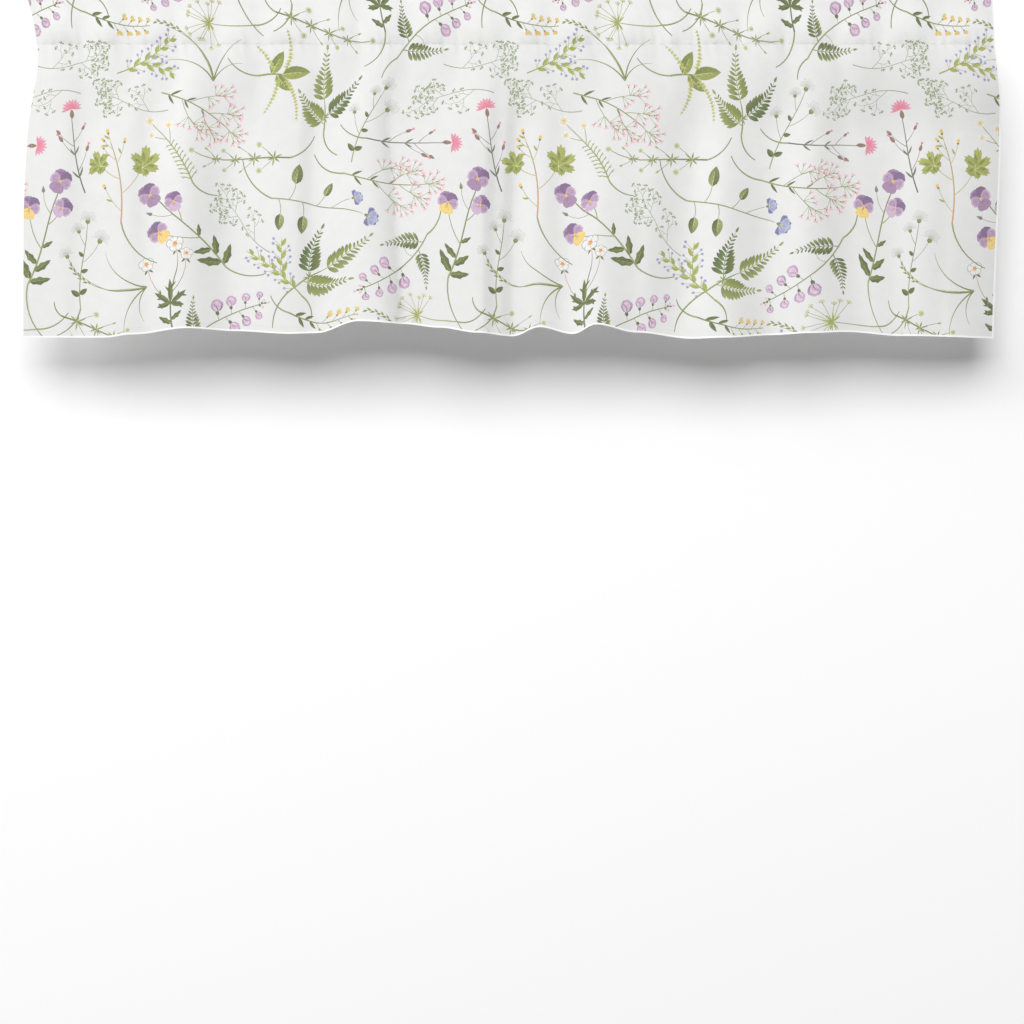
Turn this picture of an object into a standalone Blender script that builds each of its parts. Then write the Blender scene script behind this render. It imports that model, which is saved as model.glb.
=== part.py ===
"""Rod-pocket window valance: one printed cloth, hung flat with a few soft folds.

The frame's origin is the middle of the top edge. +X runs along the window, to the right as seen from the
room, +Y points at the wall and +Z is up, so the printed face looks along -Y.

The cloth has two nodes. The rod pocket is a long, slightly gathered tube, open at both ends. The drop
panel is the sheet below the stitch line, which falls from the pocket's gathers into wider folds.
"""

import math
from collections import namedtuple

import bmesh
import bpy

# --- Driving dimensions, in metres -------------------------------------------------------------------

CLOTH = 0.0012              # thickness of the cloth
HEM_CLOTH = 0.0024          # and where a turned hem doubles it
HEM_DEPTH = 0.010           # depth of the hems at the sides and the bottom
HEM_STEP = 0.002            # width over which the cloth thickens into a hem
SEAM_GAP = 0.0003           # space between the two nodes at the stitch line

ROD_RADIUS = 0.0080         # the rod that the pocket is made for
ROD_CLEARANCE = 0.0006      # slack between that rod and the pocket's inner face
POCKET_CUT = 0.076          # cloth from the top edge to the stitch line
PINCH = 0.0005              # half the space between the two walls where they are sewn together

SWELL_TOP = 0.0008          # how far the gathers stand off the rod,
SWELL_FRONT = 0.0022        # off the pocket's front wall
SWELL_BACK = 0.0020         # and off its back wall
SEAM_WAVE = 0.0020          # how far they push the stitch line forward
FULL_GATHER = 0.060         # a gather narrower than this stands off less

PANEL_DROP = 0.381          # cloth from the stitch line to the hem
SETTLE = 0.095              # height over which the gathers run out into the folds
HALF_WIDTH = 0.636          # half of the width that the tables below are laid out on

# X of the cloth's two side edges at heights below the stitch line
Sides = namedtuple("Sides", "below left right")
SIDE_EDGES = (
    Sides(-0.070, -0.6330, 0.6240),
    Sides(-0.040, -0.6240, 0.6265),
    Sides(0.000, -0.6180, 0.6305),
    Sides(0.029, -0.6175, 0.6340),
    Sides(0.065, -0.6235, 0.6385),
    Sides(0.105, -0.6295, 0.6400),
    Sides(0.160, -0.6335, 0.6400),
    Sides(0.230, -0.6358, 0.6375),
    Sides(PANEL_DROP, -0.6360, 0.6330),
)

# The lines that the folds follow down the cloth. X and the depth, forward into the room, are each given
# where the line leaves the gathers, halfway down and at the hem.
Fold = namedtuple("Fold", "name x depth")
FOLDS = (
    Fold("left side", (-0.636, -0.636, -0.636), (0.000, 0.000, 0.000)),
    Fold("left swell", (-0.585, -0.585, -0.585), (0.001, 0.001, 0.001)),
    Fold("left dent", (-0.560, -0.560, -0.560), (-0.001, -0.001, -0.001)),
    Fold("second swell", (-0.500, -0.500, -0.500), (0.002, 0.002, 0.002)),
    Fold("second dent", (-0.474, -0.474, -0.474), (0.000, 0.000, 0.000)),
    Fold("ridge 1", (-0.426, -0.426, -0.424), (0.004, 0.006, 0.007)),
    Fold("valley 1", (-0.363, -0.363, -0.361), (-0.004, -0.005, -0.006)),
    Fold("ridge 2", (-0.284, -0.282, -0.278), (0.001, 0.001, 0.000)),
    Fold("valley 2", (-0.260, -0.258, -0.254), (-0.003, -0.003, -0.001)),
    Fold("ridge 3", (-0.209, -0.190, -0.175), (0.003, 0.006, 0.008)),
    Fold("valley 3", (-0.175, -0.156, -0.142), (-0.002, -0.004, -0.003)),
    Fold("ridge 4", (-0.040, -0.040, -0.038), (0.004, 0.006, 0.006)),
    Fold("step 4", (-0.017, -0.017, -0.016), (0.000, 0.000, 0.000)),
    Fold("valley 4", (0.004, 0.004, 0.005), (-0.004, -0.006, -0.005)),
    Fold("ridge 5", (0.040, 0.040, 0.042), (-0.001, -0.002, -0.002)),
    Fold("valley 5", (0.064, 0.066, 0.068), (-0.003, -0.004, -0.005)),
    Fold("ridge 6", (0.126, 0.122, 0.118), (0.002, 0.003, 0.004)),
    Fold("slope 6", (0.178, 0.174, 0.166), (0.001, 0.000, -0.003)),
    Fold("valley 6", (0.238, 0.230, 0.216), (-0.004, -0.007, -0.008)),
    Fold("ridge 7", (0.284, 0.276, 0.281), (0.001, 0.001, 0.002)),
    Fold("valley 7", (0.344, 0.338, 0.338), (-0.005, -0.007, -0.009)),
    Fold("ridge 8", (0.393, 0.388, 0.393), (0.002, 0.001, 0.001)),
    Fold("slope 8", (0.430, 0.426, 0.430), (-0.004, -0.006, -0.006)),
    Fold("valley 8", (0.500, 0.496, 0.488), (-0.007, -0.010, -0.011)),
    Fold("ridge 9", (0.552, 0.542, 0.534), (-0.005, -0.008, -0.009)),
    Fold("slope 9", (0.592, 0.590, 0.588), (-0.008, -0.012, -0.014)),
    Fold("right side", (0.636, 0.636, 0.636), (-0.013, -0.022, -0.028)),
)

# How far the hem rises above its lowest point, at places along it
Rise = namedtuple("Rise", "x height")
HEM_RISES = (
    Rise(-0.636, 0.001), Rise(-0.528, 0.001), Rise(-0.493, 0.005), Rise(-0.420, 0.013), Rise(-0.358, 0.010),
    Rise(-0.286, 0.006), Rise(-0.252, 0.007), Rise(-0.198, 0.022), Rise(-0.138, 0.019), Rise(-0.092, 0.014),
    Rise(-0.042, 0.007), Rise(0.004, 0.003), Rise(0.038, 0.015), Rise(0.083, 0.006), Rise(0.112, 0.018),
    Rise(0.164, 0.008), Rise(0.240, 0.000), Rise(0.284, 0.001), Rise(0.342, 0.005), Rise(0.392, 0.007),
    Rise(0.442, 0.009), Rise(0.512, 0.004), Rise(0.636, 0.002),
)

# Where the gathers pinch the cloth at the stitch line
CREASES = (
    -HALF_WIDTH, -0.571, -0.510, -0.450, -0.394, -0.339, -0.264, -0.209, -0.142, -0.079, -0.008, 0.048,
    0.112, 0.189, 0.233, 0.298, 0.359, 0.428, 0.485, 0.555, HALF_WIDTH,
)

# --- Resolution of the solids ------------------------------------------------------------------------

PANEL_COLUMN = 0.0125       # width of a column of faces in the panel
POCKET_COLUMN = 0.0150      # and in the pocket
WALL_STEPS = (0.0, 0.12, 0.36, 0.68, 1.0)           # rows up a pocket wall, from the stitch line
ROD_STEPS = 5                                       # steps over the rod
PANEL_ROWS = (0.0, 0.012, 0.028, 0.050, 0.078, 0.112, 0.155, 0.205, 0.260, 0.315,
              PANEL_DROP - HEM_DEPTH - HEM_STEP, PANEL_DROP - HEM_DEPTH, PANEL_DROP)

# --- Sizes that follow -------------------------------------------------------------------------------

# The pocket's walls run straight from the rod to the stitch line, with the cloth left over the rod
WRAP_RADIUS = ROD_RADIUS + ROD_CLEARANCE
WALL_LENGTH = POCKET_CUT - math.pi * WRAP_RADIUS / 2
WALL_DROP = math.sqrt(WALL_LENGTH ** 2 - WRAP_RADIUS ** 2)
WALL_LEAN = math.asin(WRAP_RADIUS / WALL_LENGTH)
ROD_Z = -(WRAP_RADIUS + CLOTH + SWELL_TOP)
SEAM_Z = ROD_Z - WALL_DROP
PANEL_TOP = SEAM_Z - CLOTH - SEAM_GAP
PANEL_FACE = PINCH + CLOTH  # the panel's face starts level with the pocket's front


# --- Shared curves -----------------------------------------------------------------------------------

def blend(a, b, t):
    return a + (b - a) * t


def ease(t):
    """Smooth step from 0 to 1."""
    t = min(max(t, 0.0), 1.0)
    return t * t * (3 - 2 * t)


def down_the_fold(values, t):
    """The parabola through a fold's three values, with t from 0 at the stitch line to 1 at the hem."""
    upper, middle, hem = values
    return upper * (1 - t) * (1 - 2 * t) + middle * 4 * t * (1 - t) + hem * t * (2 * t - 1)


def side_edge(side, below):
    """X of the left or the right edge at a height below the stitch line, by Catmull-Rom."""
    rows = SIDE_EDGES
    below = min(max(below, rows[0].below), rows[-1].below)
    i = max(k for k in range(len(rows) - 1) if rows[k].below <= below)
    previous, here, following, last = (rows[min(max(k, 0), len(rows) - 1)] for k in range(i - 1, i + 3))
    span = following.below - here.below
    t = (below - here.below) / span

    def slope(a, b):
        return (getattr(b, side) - getattr(a, side)) / (b.below - a.below) * span

    start, end = getattr(here, side), getattr(following, side)
    leaving, arriving = slope(previous, following), slope(here, last)
    return blend(start, end, ease(t)) + leaving * t * (1 - t) ** 2 - arriving * t * t * (1 - t)


def between_sides(x, below):
    """Fit an X of the tables between the side edges at this height."""
    share = (x + HALF_WIDTH) / (2 * HALF_WIDTH)
    return blend(side_edge("left", below), side_edge("right", below), share)


def gather(x):
    """How far the cloth swells between two creases: 0 at a crease and 1 midway."""
    for left, right in zip(CREASES, CREASES[1:]):
        if left <= x <= right:
            share = (x - left) / (right - left)
            return math.sin(math.pi * share) ** 1.2 * min(1.0, (right - left) / FULL_GATHER)
    return 0.0


def in_side_hem(x):
    return abs(x) > HALF_WIDTH - HEM_DEPTH - HEM_STEP / 2


def with_side_hems(positions):
    """Add the columns at which the side hems begin."""
    edge = HALF_WIDTH - HEM_DEPTH
    hems = [-edge, -edge + HEM_STEP, edge - HEM_STEP, edge]
    inside = [x for x in positions if abs(x) < edge - 2 * HEM_STEP]
    return sorted([-HALF_WIDTH, *hems, *inside, HALF_WIDTH])


def columns_between(stops, width):
    """X positions that include every stop, about one width apart."""
    positions = []
    for left, right in zip(stops, stops[1:]):
        count = max(2, round((right - left) / width))
        positions += [blend(left, right, k / count) for k in range(count)]
    return positions + [stops[-1]]


# --- The rod pocket ----------------------------------------------------------------------------------

Station = namedtuple("Station", "y z out_y out_z swell wave")


def wall_station(side, step, fullness):
    """A point on a pocket wall: side is -1 at the front and 1 at the back, step runs from seam to rod."""
    bulge = fullness * math.sin(math.pi * min(step * 1.1, 1.0)) ** 0.7
    return Station(side * blend(PINCH, WRAP_RADIUS, step), blend(SEAM_Z, ROD_Z, step),
                   side * math.cos(WALL_LEAN), math.sin(WALL_LEAN),
                   blend(bulge, SWELL_TOP, step), 1 - ease(step))


def rod_station(share):
    """A point over the rod, from its front to its back."""
    y, z = -math.cos(math.pi * share), math.sin(math.pi * share)
    return Station(y * WRAP_RADIUS, ROD_Z + z * WRAP_RADIUS, y, z, SWELL_TOP, 0.0)


def pocket_section():
    """The pocket's inner face, up the front wall, over the rod and down the back wall."""
    front = [wall_station(-1, step, SWELL_FRONT) for step in WALL_STEPS]
    over = [rod_station(k / ROD_STEPS) for k in range(1, ROD_STEPS)]
    back = [wall_station(1, step, SWELL_BACK) for step in reversed(WALL_STEPS)]
    return front + over + back


def make_rod_pocket(material, collection):
    mesh = bmesh.new()
    layers = mesh.verts.layers.deform.verify()
    rings = []
    for x in with_side_hems(columns_between(CREASES, POCKET_COLUMN)):
        swell = gather(x)
        ring = []
        for station in pocket_section():
            out = station.swell * swell
            vert = mesh.verts.new((between_sides(x, SEAM_Z - station.z),
                                   station.y + station.out_y * out - station.wave * SEAM_WAVE * swell,
                                   station.z + station.out_z * out))
            sewn = station.z == SEAM_Z
            vert[layers][0] = 1.0 if in_side_hem(x) and not sewn else CLOTH / HEM_CLOTH
            ring.append(vert)
        rings.append(ring)
    for near, far in zip(rings, rings[1:]):
        for k, vert in enumerate(near):
            after = (k + 1) % len(near)
            mesh.faces.new((vert, near[after], far[after], far[k]))
    return add_cloth("rod_pocket", mesh, 1.0, material, collection)


# --- The drop panel ----------------------------------------------------------------------------------

def fold_at(x):
    """The fold whose line passes left of x halfway down, and the share of the way to the next one."""
    for here, following in zip(FOLDS, FOLDS[1:]):
        if x <= following.x[1]:
            return here, following, (x - here.x[1]) / (following.x[1] - here.x[1])
    return FOLDS[-2], FOLDS[-1], 1.0


def hem_rise(x):
    for left, right in zip(HEM_RISES, HEM_RISES[1:]):
        if x <= right.x:
            return blend(left.height, right.height, ease((x - left.x) / (right.x - left.x)))
    return HEM_RISES[-1].height


def panel_point(column, below):
    """A point of the printed face. The column is its X halfway down; below is measured on the cloth."""
    here, following, share = fold_at(column)
    t = below / PANEL_DROP
    x = blend(down_the_fold(here.x, t), down_the_fold(following.x, t), share)
    fold = blend(down_the_fold(here.depth, t), down_the_fold(following.depth, t), ease(share))
    rise = hem_rise(blend(here.x[2], following.x[2], share))
    x = blend(column, x, ease(below / SETTLE))
    depth = blend(PANEL_FACE + SEAM_WAVE * gather(column), fold, ease(below / SETTLE))
    return between_sides(x, below), -depth, PANEL_TOP - below * (1 - rise / PANEL_DROP)


def make_drop_panel(material, collection):
    columns = with_side_hems(columns_between([fold.x[1] for fold in FOLDS], PANEL_COLUMN))
    last_column, last_row = len(columns) - 1, len(PANEL_ROWS) - 1
    mesh = bmesh.new()
    layers = mesh.verts.layers.deform.verify()
    bmesh.ops.create_grid(mesh, x_segments=last_column, y_segments=last_row, size=1.0)
    for vert in mesh.verts:
        column = columns[round((vert.co.x + 1) / 2 * last_column)]
        below = PANEL_ROWS[round((1 - vert.co.y) / 2 * last_row)]
        in_hem = in_side_hem(column) or below >= PANEL_DROP - HEM_DEPTH
        vert.co = panel_point(column, below)
        vert[layers][0] = 1.0 if in_hem else CLOTH / HEM_CLOTH
    return add_cloth("drop_panel", mesh, -1.0, material, collection)


# --- Cloth -------------------------------------------------------------------------------------------

def add_cloth(name, mesh, offset, material, collection):
    """Give a surface the thickness of its layers, on its outer side at offset 1 or behind it at -1."""
    bmesh.ops.recalc_face_normals(mesh, faces=mesh.faces)
    if offset < 0 and sum(face.normal.y for face in mesh.faces) > 0:
        bmesh.ops.reverse_faces(mesh, faces=mesh.faces)
    data = bpy.data.meshes.new(name)
    mesh.to_mesh(data)
    mesh.free()
    data.shade_smooth()
    data.materials.append(material)
    cloth = bpy.data.objects.new(name, data)
    collection.objects.link(cloth)
    cloth.vertex_groups.new(name="layers")
    thicken = cloth.modifiers.new("Cloth thickness", "SOLIDIFY")
    thicken.thickness = HEM_CLOTH
    thicken.vertex_group = "layers"
    thicken.offset = offset
    thicken.use_even_offset = True
    return cloth


def cloth_material():
    material = bpy.data.materials.new("printed cloth")
    material.use_nodes = True
    shader = material.node_tree.nodes["Principled BSDF"]
    shader.inputs["Base Color"].default_value = (0.86, 0.87, 0.85, 1.0)
    shader.inputs["Roughness"].default_value = 0.9
    shader.inputs["Metallic"].default_value = 0.0
    return material


def main():
    for thing in list(bpy.data.objects):
        bpy.data.objects.remove(thing, do_unlink=True)
    collection = bpy.data.collections.new("window valance")
    bpy.context.scene.collection.children.link(collection)
    material = cloth_material()
    make_rod_pocket(material, collection)
    make_drop_panel(material, collection)


main()
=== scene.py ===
# %% [markdown]
# # A printed window valance
#
# A valance is the short strip of cloth that hangs over the top of a window. This one is a single piece
# of light polyester, printed with wild flowers. Its top is folded over and sewn into a pocket for a
# curtain rod, and its sides and bottom are hemmed.
#
# The CAD model already holds its solids, in metres: +X runs along the window, +Y points at the wall,
# +Z is up, and the origin is the middle of the top edge. This lesson dresses them. First it works out
# how the flat cloth hangs, then it draws the print on the flat cloth, and then it hangs the one on the
# other, so that leaves and stems bend over every fold as ink on real cloth does.

# %% The frame
import cmath
import math
import random

import bmesh
import bpy
import numpy as np
from mathutils import Matrix, Vector
from mathutils.geometry import delaunay_2d_cdt


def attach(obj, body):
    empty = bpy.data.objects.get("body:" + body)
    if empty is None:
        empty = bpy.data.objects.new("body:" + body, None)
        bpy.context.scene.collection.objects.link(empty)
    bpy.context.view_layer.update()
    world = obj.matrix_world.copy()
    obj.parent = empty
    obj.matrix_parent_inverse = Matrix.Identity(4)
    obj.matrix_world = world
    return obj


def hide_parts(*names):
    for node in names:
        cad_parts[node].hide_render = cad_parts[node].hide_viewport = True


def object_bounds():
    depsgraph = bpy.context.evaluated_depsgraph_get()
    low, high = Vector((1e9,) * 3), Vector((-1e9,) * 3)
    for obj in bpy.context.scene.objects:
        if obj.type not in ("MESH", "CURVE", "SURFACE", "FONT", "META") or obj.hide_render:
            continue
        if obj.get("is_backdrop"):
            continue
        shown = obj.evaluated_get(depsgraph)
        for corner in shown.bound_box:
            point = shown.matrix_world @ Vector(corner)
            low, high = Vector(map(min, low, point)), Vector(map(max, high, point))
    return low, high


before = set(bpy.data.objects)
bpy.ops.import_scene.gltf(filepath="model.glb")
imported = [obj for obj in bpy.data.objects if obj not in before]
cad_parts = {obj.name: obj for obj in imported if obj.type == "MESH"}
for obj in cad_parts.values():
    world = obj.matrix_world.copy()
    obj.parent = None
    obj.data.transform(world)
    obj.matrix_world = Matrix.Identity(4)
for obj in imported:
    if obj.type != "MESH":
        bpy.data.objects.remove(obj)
cad_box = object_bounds()
print("solids:", ", ".join(sorted(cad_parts)))
print("box of the solids:", [[round(value, 4) for value in corner] for corner in cad_box])

# %% [markdown]
# ## The camera
#
# The valance hangs square to the viewer, close to the wall and high in the picture, so the camera looks
# straight along +Y from 3 m away, with its centre line well below the hem. A long lens keeps the width
# true from side to side. The lens follows from one number, the width of cloth that a pixel covers.

# %% Camera
PIXEL = 0.0013
FRAME_PIXELS = 1024
DISTANCE = 3.0
SIDEWAYS, TOP_OF_VIEW = 0.0013, -0.015


def placed(data):
    """A new object of the scene, with the name of its data."""
    thing = bpy.data.objects.new(data.name, data)
    bpy.context.scene.collection.objects.link(thing)
    return thing


def mesh_from(name, work):
    """A mesh made from a finished bmesh, which is freed."""
    mesh = bpy.data.meshes.new(name)
    work.to_mesh(mesh)
    work.free()
    return mesh


camera = bpy.data.cameras.new("camera")
camera.sensor_width = 36.0
camera.lens = camera.sensor_width * DISTANCE / (PIXEL * FRAME_PIXELS)
camera_object = placed(camera)
camera_object.location = (SIDEWAYS, -DISTANCE, TOP_OF_VIEW - PIXEL * FRAME_PIXELS / 2)
camera_object.rotation_euler = (math.radians(90), 0, 0)
bpy.context.scene.camera = camera_object
print(f"lens {camera.lens:.1f} mm")

# %% [markdown]
# ## The flat cloth
#
# Every place on the cloth has two flat coordinates in metres: u from its left side to its right, and v
# down its length. v starts at the end that is folded to the back and sewn down, climbs the back of the
# pocket, passes over the rod, comes down the front to the stitch line, and runs on to the hem. The two
# walls of the pocket and the stretch over the rod take twice the depth of the pocket between them.

# %% Sizes of the cloth
FLAT_WIDTH = 1.321
CLOTH = 0.0007              # thickness of one layer
SOLID_CLOTH = 0.0012        # and the thickness that the solids give it
POCKET_CUT = 0.076
PANEL_DROP = 0.381
HEM_DEPTH = 0.010
WRAP_RADIUS = 0.0086        # of the pocket's inner face over the rod
SWELL_TOP, SWELL_FRONT, SWELL_BACK = 0.0008, 0.0022, 0.0020
SEAM_WAVE = 0.0020
SEAM_FACE = 0.0008          # the printed face's distance from the middle of the stitch line
SEAM_GAP, GAP_RUN = 0.0003, 0.020   # between the two solids, and the height that takes it up
FULL_GATHER = 0.060
SETTLE = 0.120
HALF_WIDTH = 0.636

WALL_LENGTH = POCKET_CUT - math.pi * WRAP_RADIUS / 2
WALL_LEAN = math.asin(WRAP_RADIUS / WALL_LENGTH)
OVER_ROD = math.pi * WRAP_RADIUS
SEAM_V = 2 * POCKET_CUT
FLAT_LENGTH = SEAM_V + PANEL_DROP
ROD_Z = -(WRAP_RADIUS + SOLID_CLOTH + SWELL_TOP)
SEAM_Z = ROD_Z - math.sqrt(WALL_LENGTH ** 2 - WRAP_RADIUS ** 2)
print(f"cut {FLAT_WIDTH:.3f} x {FLAT_LENGTH:.3f} m, stitch line at z = {SEAM_Z:.4f}")

# %% [markdown]
# ## The folds
#
# Folds in a hung cloth are not a wave that repeats. Each one starts at a gather of the pocket, wanders a
# little, and opens or closes on its way to the hem. So each fold line is a row of a table, as in the
# solids: its x and its depth into the room at the stitch line, halfway down and at the hem. Smooth curves
# join the rows. A second table says how far the hem rises above its lowest point.

# %% Tables of the folds, creases and side edges
FOLDS = (
    # x (upper, middle, hem)     depth (upper, middle, hem)
    ((-0.636, -0.636, -0.636), (0.000, 0.000, 0.000)),
    ((-0.585, -0.585, -0.585), (0.001, 0.001, 0.001)),
    ((-0.560, -0.560, -0.560), (-0.001, -0.001, -0.001)),
    ((-0.500, -0.500, -0.500), (0.002, 0.002, 0.002)),
    ((-0.474, -0.474, -0.474), (0.000, 0.000, 0.000)),
    ((-0.426, -0.426, -0.424), (0.004, 0.006, 0.007)),
    ((-0.363, -0.363, -0.361), (-0.004, -0.005, -0.006)),
    ((-0.284, -0.282, -0.278), (0.001, 0.001, 0.000)),
    ((-0.260, -0.258, -0.254), (-0.003, -0.003, -0.001)),
    ((-0.214, -0.192, -0.175), (0.003, 0.006, 0.008)),
    ((-0.181, -0.155, -0.140), (-0.002, -0.004, -0.003)),
    ((-0.040, -0.040, -0.038), (0.004, 0.006, 0.006)),
    ((-0.017, -0.017, -0.016), (0.000, 0.000, 0.000)),
    ((0.004, 0.004, 0.005), (-0.004, -0.006, -0.005)),
    ((0.040, 0.040, 0.042), (-0.001, -0.002, -0.002)),
    ((0.064, 0.066, 0.068), (-0.003, -0.004, -0.005)),
    ((0.126, 0.122, 0.118), (0.002, 0.003, 0.004)),
    ((0.178, 0.174, 0.166), (0.001, 0.000, -0.003)),
    ((0.238, 0.230, 0.216), (-0.004, -0.007, -0.008)),
    ((0.284, 0.276, 0.281), (0.001, 0.001, 0.002)),
    ((0.344, 0.338, 0.338), (-0.005, -0.007, -0.009)),
    ((0.393, 0.388, 0.393), (0.002, 0.001, 0.001)),
    ((0.432, 0.444, 0.470), (-0.005, -0.0085, -0.0115)),
    ((0.498, 0.494, 0.500), (-0.006, -0.011, -0.0125)),
    ((0.552, 0.542, 0.534), (-0.004, -0.008, -0.010)),
    ((0.585, 0.576, 0.570), (-0.005, -0.010, -0.012)),
    ((0.636, 0.636, 0.636), (-0.008, -0.021, -0.028)),
)
HEM_RISES = (
    # x along the hem, rise
    (-0.636, 0.001), (-0.528, 0.001), (-0.493, 0.005), (-0.420, 0.013), (-0.358, 0.010), (-0.286, 0.006),
    (-0.252, 0.007), (-0.198, 0.022), (-0.138, 0.019), (-0.092, 0.014), (-0.042, 0.007), (0.004, 0.003),
    (0.038, 0.015), (0.083, 0.006), (0.112, 0.018), (0.164, 0.008), (0.240, 0.000), (0.284, 0.001),
    (0.342, 0.005), (0.392, 0.007), (0.442, 0.009), (0.512, 0.004), (0.636, 0.002),
)
SLOPE_POWERS = {9: 2.4, 25: 1.5}    # rows whose slope steepens to its end: a crease and the right edge
CREASES = (-0.636, -0.571, -0.510, -0.450, -0.394, -0.339, -0.264, -0.209, -0.142, -0.079, -0.008, 0.048,
           0.112, 0.189, 0.233, 0.298, 0.359, 0.428, 0.485, 0.555, 0.636)
SIDE_EDGES = (
    # below the stitch line, left edge, right edge
    (-0.070, -0.6330, 0.6240), (-0.040, -0.6240, 0.6265), (0.000, -0.6180, 0.6305),
    (0.029, -0.6175, 0.6340), (0.065, -0.6235, 0.6385), (0.105, -0.6295, 0.6400),
    (0.160, -0.6335, 0.6400), (0.230, -0.6358, 0.6375), (0.381, -0.6360, 0.6330),
)
print(len(FOLDS), "fold lines,", len(CREASES), "creases at the stitch line")

# %% [markdown]
# The next helpers read those tables. They take whole arrays of points, because the print has tens of
# thousands of them. A parabola runs down each fold line, and a smooth step joins one line to the next.

# %% Curves between the rows
def ease(t):
    t = np.clip(t, 0.0, 1.0)
    return t * t * (3 - 2 * t)


def blend(a, b, t):
    return a + (b - a) * t


def down_the_fold(values, t):
    upper, middle, hem = values
    return upper * (1 - t) * (1 - 2 * t) + middle * 4 * t * (1 - t) + hem * t * (2 * t - 1)


def row_before(rows, at, side="left"):
    """The index of the row of a table that each place follows."""
    return np.clip(np.searchsorted(rows, at, side=side) - 1, 0, len(rows) - 2)


def eased(rows, values, at):
    """The values of a table at places between its rows, by smooth steps."""
    i = row_before(rows, at)
    return blend(values[i], values[i + 1], ease((at - rows[i]) / (rows[i + 1] - rows[i])))


def side_edge(side, below):
    """X of a side edge at heights below the stitch line: a curve through the table, level with its chords."""
    rows = np.array(SIDE_EDGES)
    heights, edge = rows[:, 0], rows[:, side]
    slopes = np.empty(len(rows))
    slopes[1:-1] = (edge[2:] - edge[:-2]) / (heights[2:] - heights[:-2])
    slopes[0] = (edge[1] - edge[0]) / (heights[1] - heights[0])
    slopes[-1] = (edge[-1] - edge[-2]) / (heights[-1] - heights[-2])
    below = np.clip(below, heights[0], heights[-1])
    i = row_before(heights, below, "right")
    span = heights[i + 1] - heights[i]
    t = (below - heights[i]) / span
    return (blend(edge[i], edge[i + 1], ease(t)) + slopes[i] * span * t * (1 - t) ** 2
            - slopes[i + 1] * span * t * t * (1 - t))


def between_sides(x, below):
    share = (x + HALF_WIDTH) / (2 * HALF_WIDTH)
    return blend(side_edge(1, below), side_edge(2, below), share)


def gather(x):
    """How far the cloth swells between two creases: 0 at a crease and 1 midway."""
    creases = np.array(CREASES)
    i = row_before(creases, x, "right")
    width = creases[i + 1] - creases[i]
    share = np.clip((x - creases[i]) / width, 0.0, 1.0)
    return np.sin(math.pi * share) ** 1.2 * np.minimum(1.0, width / FULL_GATHER)


print(f"the pocket is {side_edge(2, -0.04) - side_edge(1, -0.04):.3f} m wide, the hem "
      f"{side_edge(2, 0.381) - side_edge(1, 0.381):.3f} m")

# %% [markdown]
# ## How the cloth hangs
#
# Now a flat place can be hung. On the drop panel it takes its fold from the table. Over the pocket it
# follows a straight wall, the rod and the other wall. The gathers at the stitch line run out into the
# folds over the first 120 mm.
#
# Cloth is never quite smooth between its folds, so two small things are added: the puckers that
# a sewing machine leaves along a seam, and the faint unevenness of a light cloth that was folded in a
# packet. Both are sums of a few waves of unlike lengths, which don't repeat.

# %% Puckers and unevenness
def pucker(u, away, reach=0.011):
    """Small irregular ripples across a stitch row, which die out away from it."""
    swing = 1.7 * np.sin(u * 41 + 0.6) + 1.1 * np.sin(u * 97 + 2.0)
    ripple = np.sin(u * 560 + swing) + 0.5 * np.sin(u * 350 - swing + 1.0)
    return 0.00030 * ripple * np.exp(-np.abs(away) / reach)


def unevenness(u, v):
    """Shallow waves of the cloth between its folds."""
    return (0.00045 * np.sin(u * 37 + 9 * v + 1.3 * np.sin(v * 11 + 2))
            + 0.00035 * np.sin(u * 71 - 13 * v + 0.8 * np.sin(u * 9))
            + 0.00030 * np.sin(v * 34 + 1.9 * np.sin(u * 6.5 + 1)))


# %% From flat to hung
def column_at(u):
    """The table's x of each u. Equal steps of u are equal lengths of cloth, measured over the folds."""
    lines, depths = np.array([(places[1], depths[1]) for places, depths in FOLDS]).T
    columns = np.linspace(-HALF_WIDTH, HALF_WIDTH, 2545)    # half a millimetre apart
    depth = eased(lines, depths, columns)
    length = np.concatenate(([0.0], np.cumsum(np.hypot(np.diff(columns), np.diff(depth)))))
    return np.interp(u, length / length[-1] * FLAT_WIDTH, columns)


def panel_face(u, column, below):
    x, hem_x, fold = (np.empty_like(column) for _ in range(3))
    t = below / PANEL_DROP
    for k, (here, following) in enumerate(zip(FOLDS, FOLDS[1:])):
        on = (column > here[0][1]) & (column <= following[0][1])
        if k == 0:
            on |= column <= here[0][1]
        share = (column[on] - here[0][1]) / (following[0][1] - here[0][1])
        x[on] = blend(down_the_fold(here[0], t[on]), down_the_fold(following[0], t[on]), share)
        hem_x[on] = blend(here[0][2], following[0][2], share)
        turn_in = share ** SLOPE_POWERS[k] if k in SLOPE_POWERS else ease(share)
        fold[on] = blend(down_the_fold(here[1], t[on]), down_the_fold(following[1], t[on]), turn_in)
    settled = ease(below / SETTLE)
    x = blend(column, x, settled)
    depth = blend(SEAM_FACE + SEAM_WAVE * gather(column), fold + unevenness(u, below), settled)
    depth = depth + pucker(u, below)
    rise = eased(*np.array(HEM_RISES).T, hem_x)
    drop = below * (1 - rise / PANEL_DROP) + (SOLID_CLOTH + SEAM_GAP) * ease(below / GAP_RUN)
    return np.stack((between_sides(x, below), -depth, SEAM_Z - drop), axis=1)


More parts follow.
